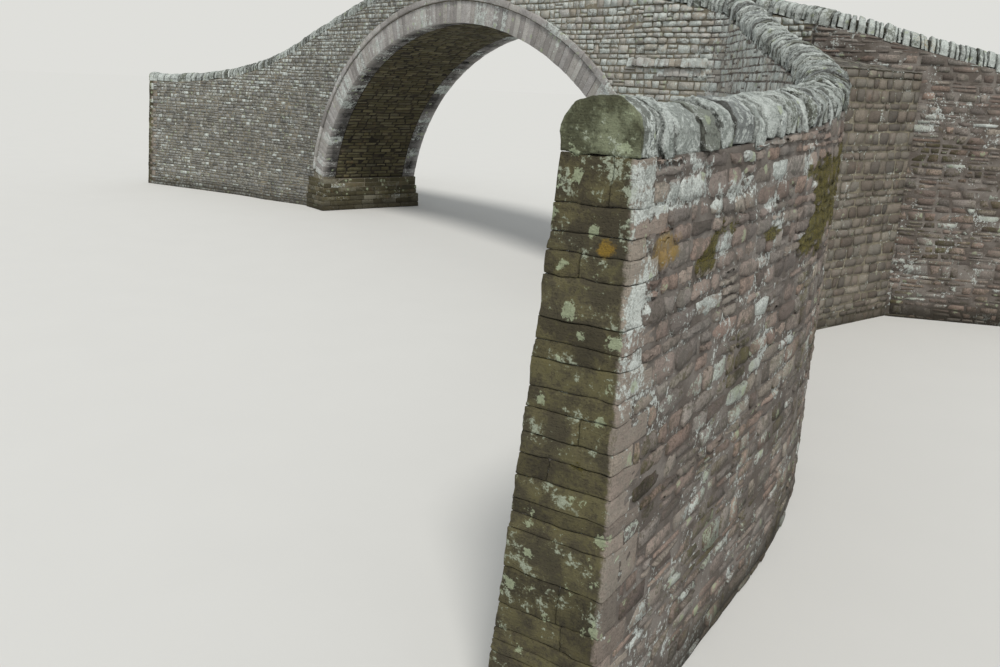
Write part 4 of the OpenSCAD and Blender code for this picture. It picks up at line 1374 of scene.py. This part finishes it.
class BridgeStones(bpy.types.PropertyGroup):
    """Sizes of the stones."""
    joint: length_setting("Joint", "Width of the joints in the rubble", 0.007)
    wing_joint: length_setting("Wing joint", "Width of the joints on the near wings' road faces", 0.014)
    proud_low: length_setting("Least stand", "Least that a rubble stone stands proud", 0.005)
    proud_high: length_setting("Most stand", "Most that a rubble stone stands proud", 0.024)
    coping_thin: length_setting("Thin coping stone", "Thickness of the thinnest coping stone", 0.07, 0.05)
    coping_thick: length_setting("Thick coping stone", "Thickness of the thickest coping stone", 0.2, 0.06)
    ring_thick: length_setting("Ring stone", "Mean thickness of a ring stone", 0.165, 0.08)


class BridgeStage(bpy.types.PropertyGroup):
    """The floor and the light."""
    floor_radius: length_setting("Floor radius", "Radius of the floor", 400)
    floor_colour: colour_setting("Floor", "Colour of the floor", (0.63, 0.63, 0.612))
    backdrop_colour: colour_setting("Backdrop", "Colour seen behind the bridge", (0.738, 0.738, 0.707))
    world_colour: colour_setting("Sky light", "Colour of the even light", (0.95, 0.98, 1.0))
    world_strength: plain_setting("Sky strength", "Strength of the even light", 0.6)
    sun_strength: plain_setting("Sun strength", "Strength of the soft sun", 2.45)
    sun_x: plain_setting("Sun along", "Direction of the sun along the bridge", 0.75)
    sun_y: plain_setting("Sun across", "Direction of the sun across the bridge", -0.45)
    sun_z: plain_setting("Sun up", "Height of the sun", 1.0)


class BRIDGE_OT_backing(bpy.types.Operator):
    """Dress the solids behind the stones as joints"""
    bl_idname = "bridge.backing"
    bl_label = "Joints"

    def execute(self, context):
        dress_backing()
        return {"FINISHED"}


class BRIDGE_OT_rubble(bpy.types.Operator):
    """Lay the rubble of the faces, parapets and wings"""
    bl_idname = "bridge.rubble"
    bl_label = "Rubble"

    def execute(self, context):
        lay_rubble(context.scene.bridge_stones)
        return {"FINISHED"}


class BRIDGE_OT_copings(bpy.types.Operator):
    """Set the coping stones on edge"""
    bl_idname = "bridge.copings"
    bl_label = "Copings"

    def execute(self, context):
        lay_copings(context.scene.bridge_stones)
        return {"FINISHED"}


class BRIDGE_OT_piers(bpy.types.Operator):
    """Build the quoins and caps that end the wings"""
    bl_idname = "bridge.piers"
    bl_label = "End piers"

    def execute(self, context):
        lay_end_piers()
        return {"FINISHED"}


class BRIDGE_OT_ring(bpy.types.Operator):
    """Set the ring stones, the hood moulds and the soffit"""
    bl_idname = "bridge.ring"
    bl_label = "Arch"

    def execute(self, context):
        lay_arch(context.scene.bridge_stones)
        return {"FINISHED"}


class BRIDGE_OT_footings(bpy.types.Operator):
    """Lay the footing courses of the abutments"""
    bl_idname = "bridge.footings"
    bl_label = "Footings"

    def execute(self, context):
        lay_footings()
        return {"FINISHED"}


class BRIDGE_OT_deck(bpy.types.Operator):
    """Pave the deck with worn setts"""
    bl_idname = "bridge.deck"
    bl_label = "Deck"

    def execute(self, context):
        lay_deck()
        return {"FINISHED"}


class BRIDGE_OT_cores(bpy.types.Operator):
    """Lay coarse rubble over the ends of the hearting"""
    bl_idname = "bridge.cores"
    bl_label = "Hearting"

    def execute(self, context):
        lay_core_ends()
        return {"FINISHED"}


class BRIDGE_OT_corbels(bpy.types.Operator):
    """Set the two oversailing courses"""
    bl_idname = "bridge.corbels"
    bl_label = "Corbels"

    def execute(self, context):
        lay_corbels()
        return {"FINISHED"}


class BRIDGE_OT_stage(bpy.types.Operator):
    """Set the floor, the light and the camera"""
    bl_idname = "bridge.stage"
    bl_label = "Stage"

    def execute(self, context):
        lay_floor(context.scene.bridge_stage)
        light_stage(context.scene.bridge_stage)
        place_camera()
        return {"FINISHED"}


GROUPS = [BridgeStones, BridgeStage]
STEPS = [BRIDGE_OT_backing, BRIDGE_OT_rubble, BRIDGE_OT_copings, BRIDGE_OT_piers, BRIDGE_OT_ring,
         BRIDGE_OT_footings, BRIDGE_OT_deck, BRIDGE_OT_cores, BRIDGE_OT_corbels, BRIDGE_OT_stage]


class BRIDGE_PT_panel(bpy.types.Panel):
    """Lists the sizes, the colours and the steps"""
    bl_idname = "BRIDGE_PT_panel"
    bl_label = "Stone bridge"
    bl_space_type = "VIEW_3D"
    bl_region_type = "UI"
    bl_category = "Bridge"

    def draw(self, context):
        for group in (context.scene.bridge_stones, context.scene.bridge_stage):
            for key in group.__annotations__:
                self.layout.prop(group, key)
        for step in STEPS:
            self.layout.operator(step.bl_idname)


CLASSES = GROUPS + STEPS + [BRIDGE_PT_panel]


def register():
    for item in CLASSES:
        bpy.utils.register_class(item)
    bpy.types.Scene.bridge_stones = PointerProperty(type=BridgeStones)
    bpy.types.Scene.bridge_stage = PointerProperty(type=BridgeStage)


def unregister():
    del bpy.types.Scene.bridge_stones
    del bpy.types.Scene.bridge_stage
    for item in reversed(CLASSES):
        bpy.utils.unregister_class(item)


def main():
    """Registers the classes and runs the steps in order."""
    register()
    bpy.ops.bridge.backing()
    bpy.ops.bridge.rubble()
    bpy.ops.bridge.copings()
    bpy.ops.bridge.piers()
    bpy.ops.bridge.ring()
    bpy.ops.bridge.footings()
    bpy.ops.bridge.deck()
    bpy.ops.bridge.cores()
    bpy.ops.bridge.corbels()
    bpy.ops.bridge.stage()
    bpy.context.scene.view_settings.view_transform = "Standard"


if __name__ == "__main__":
    main()
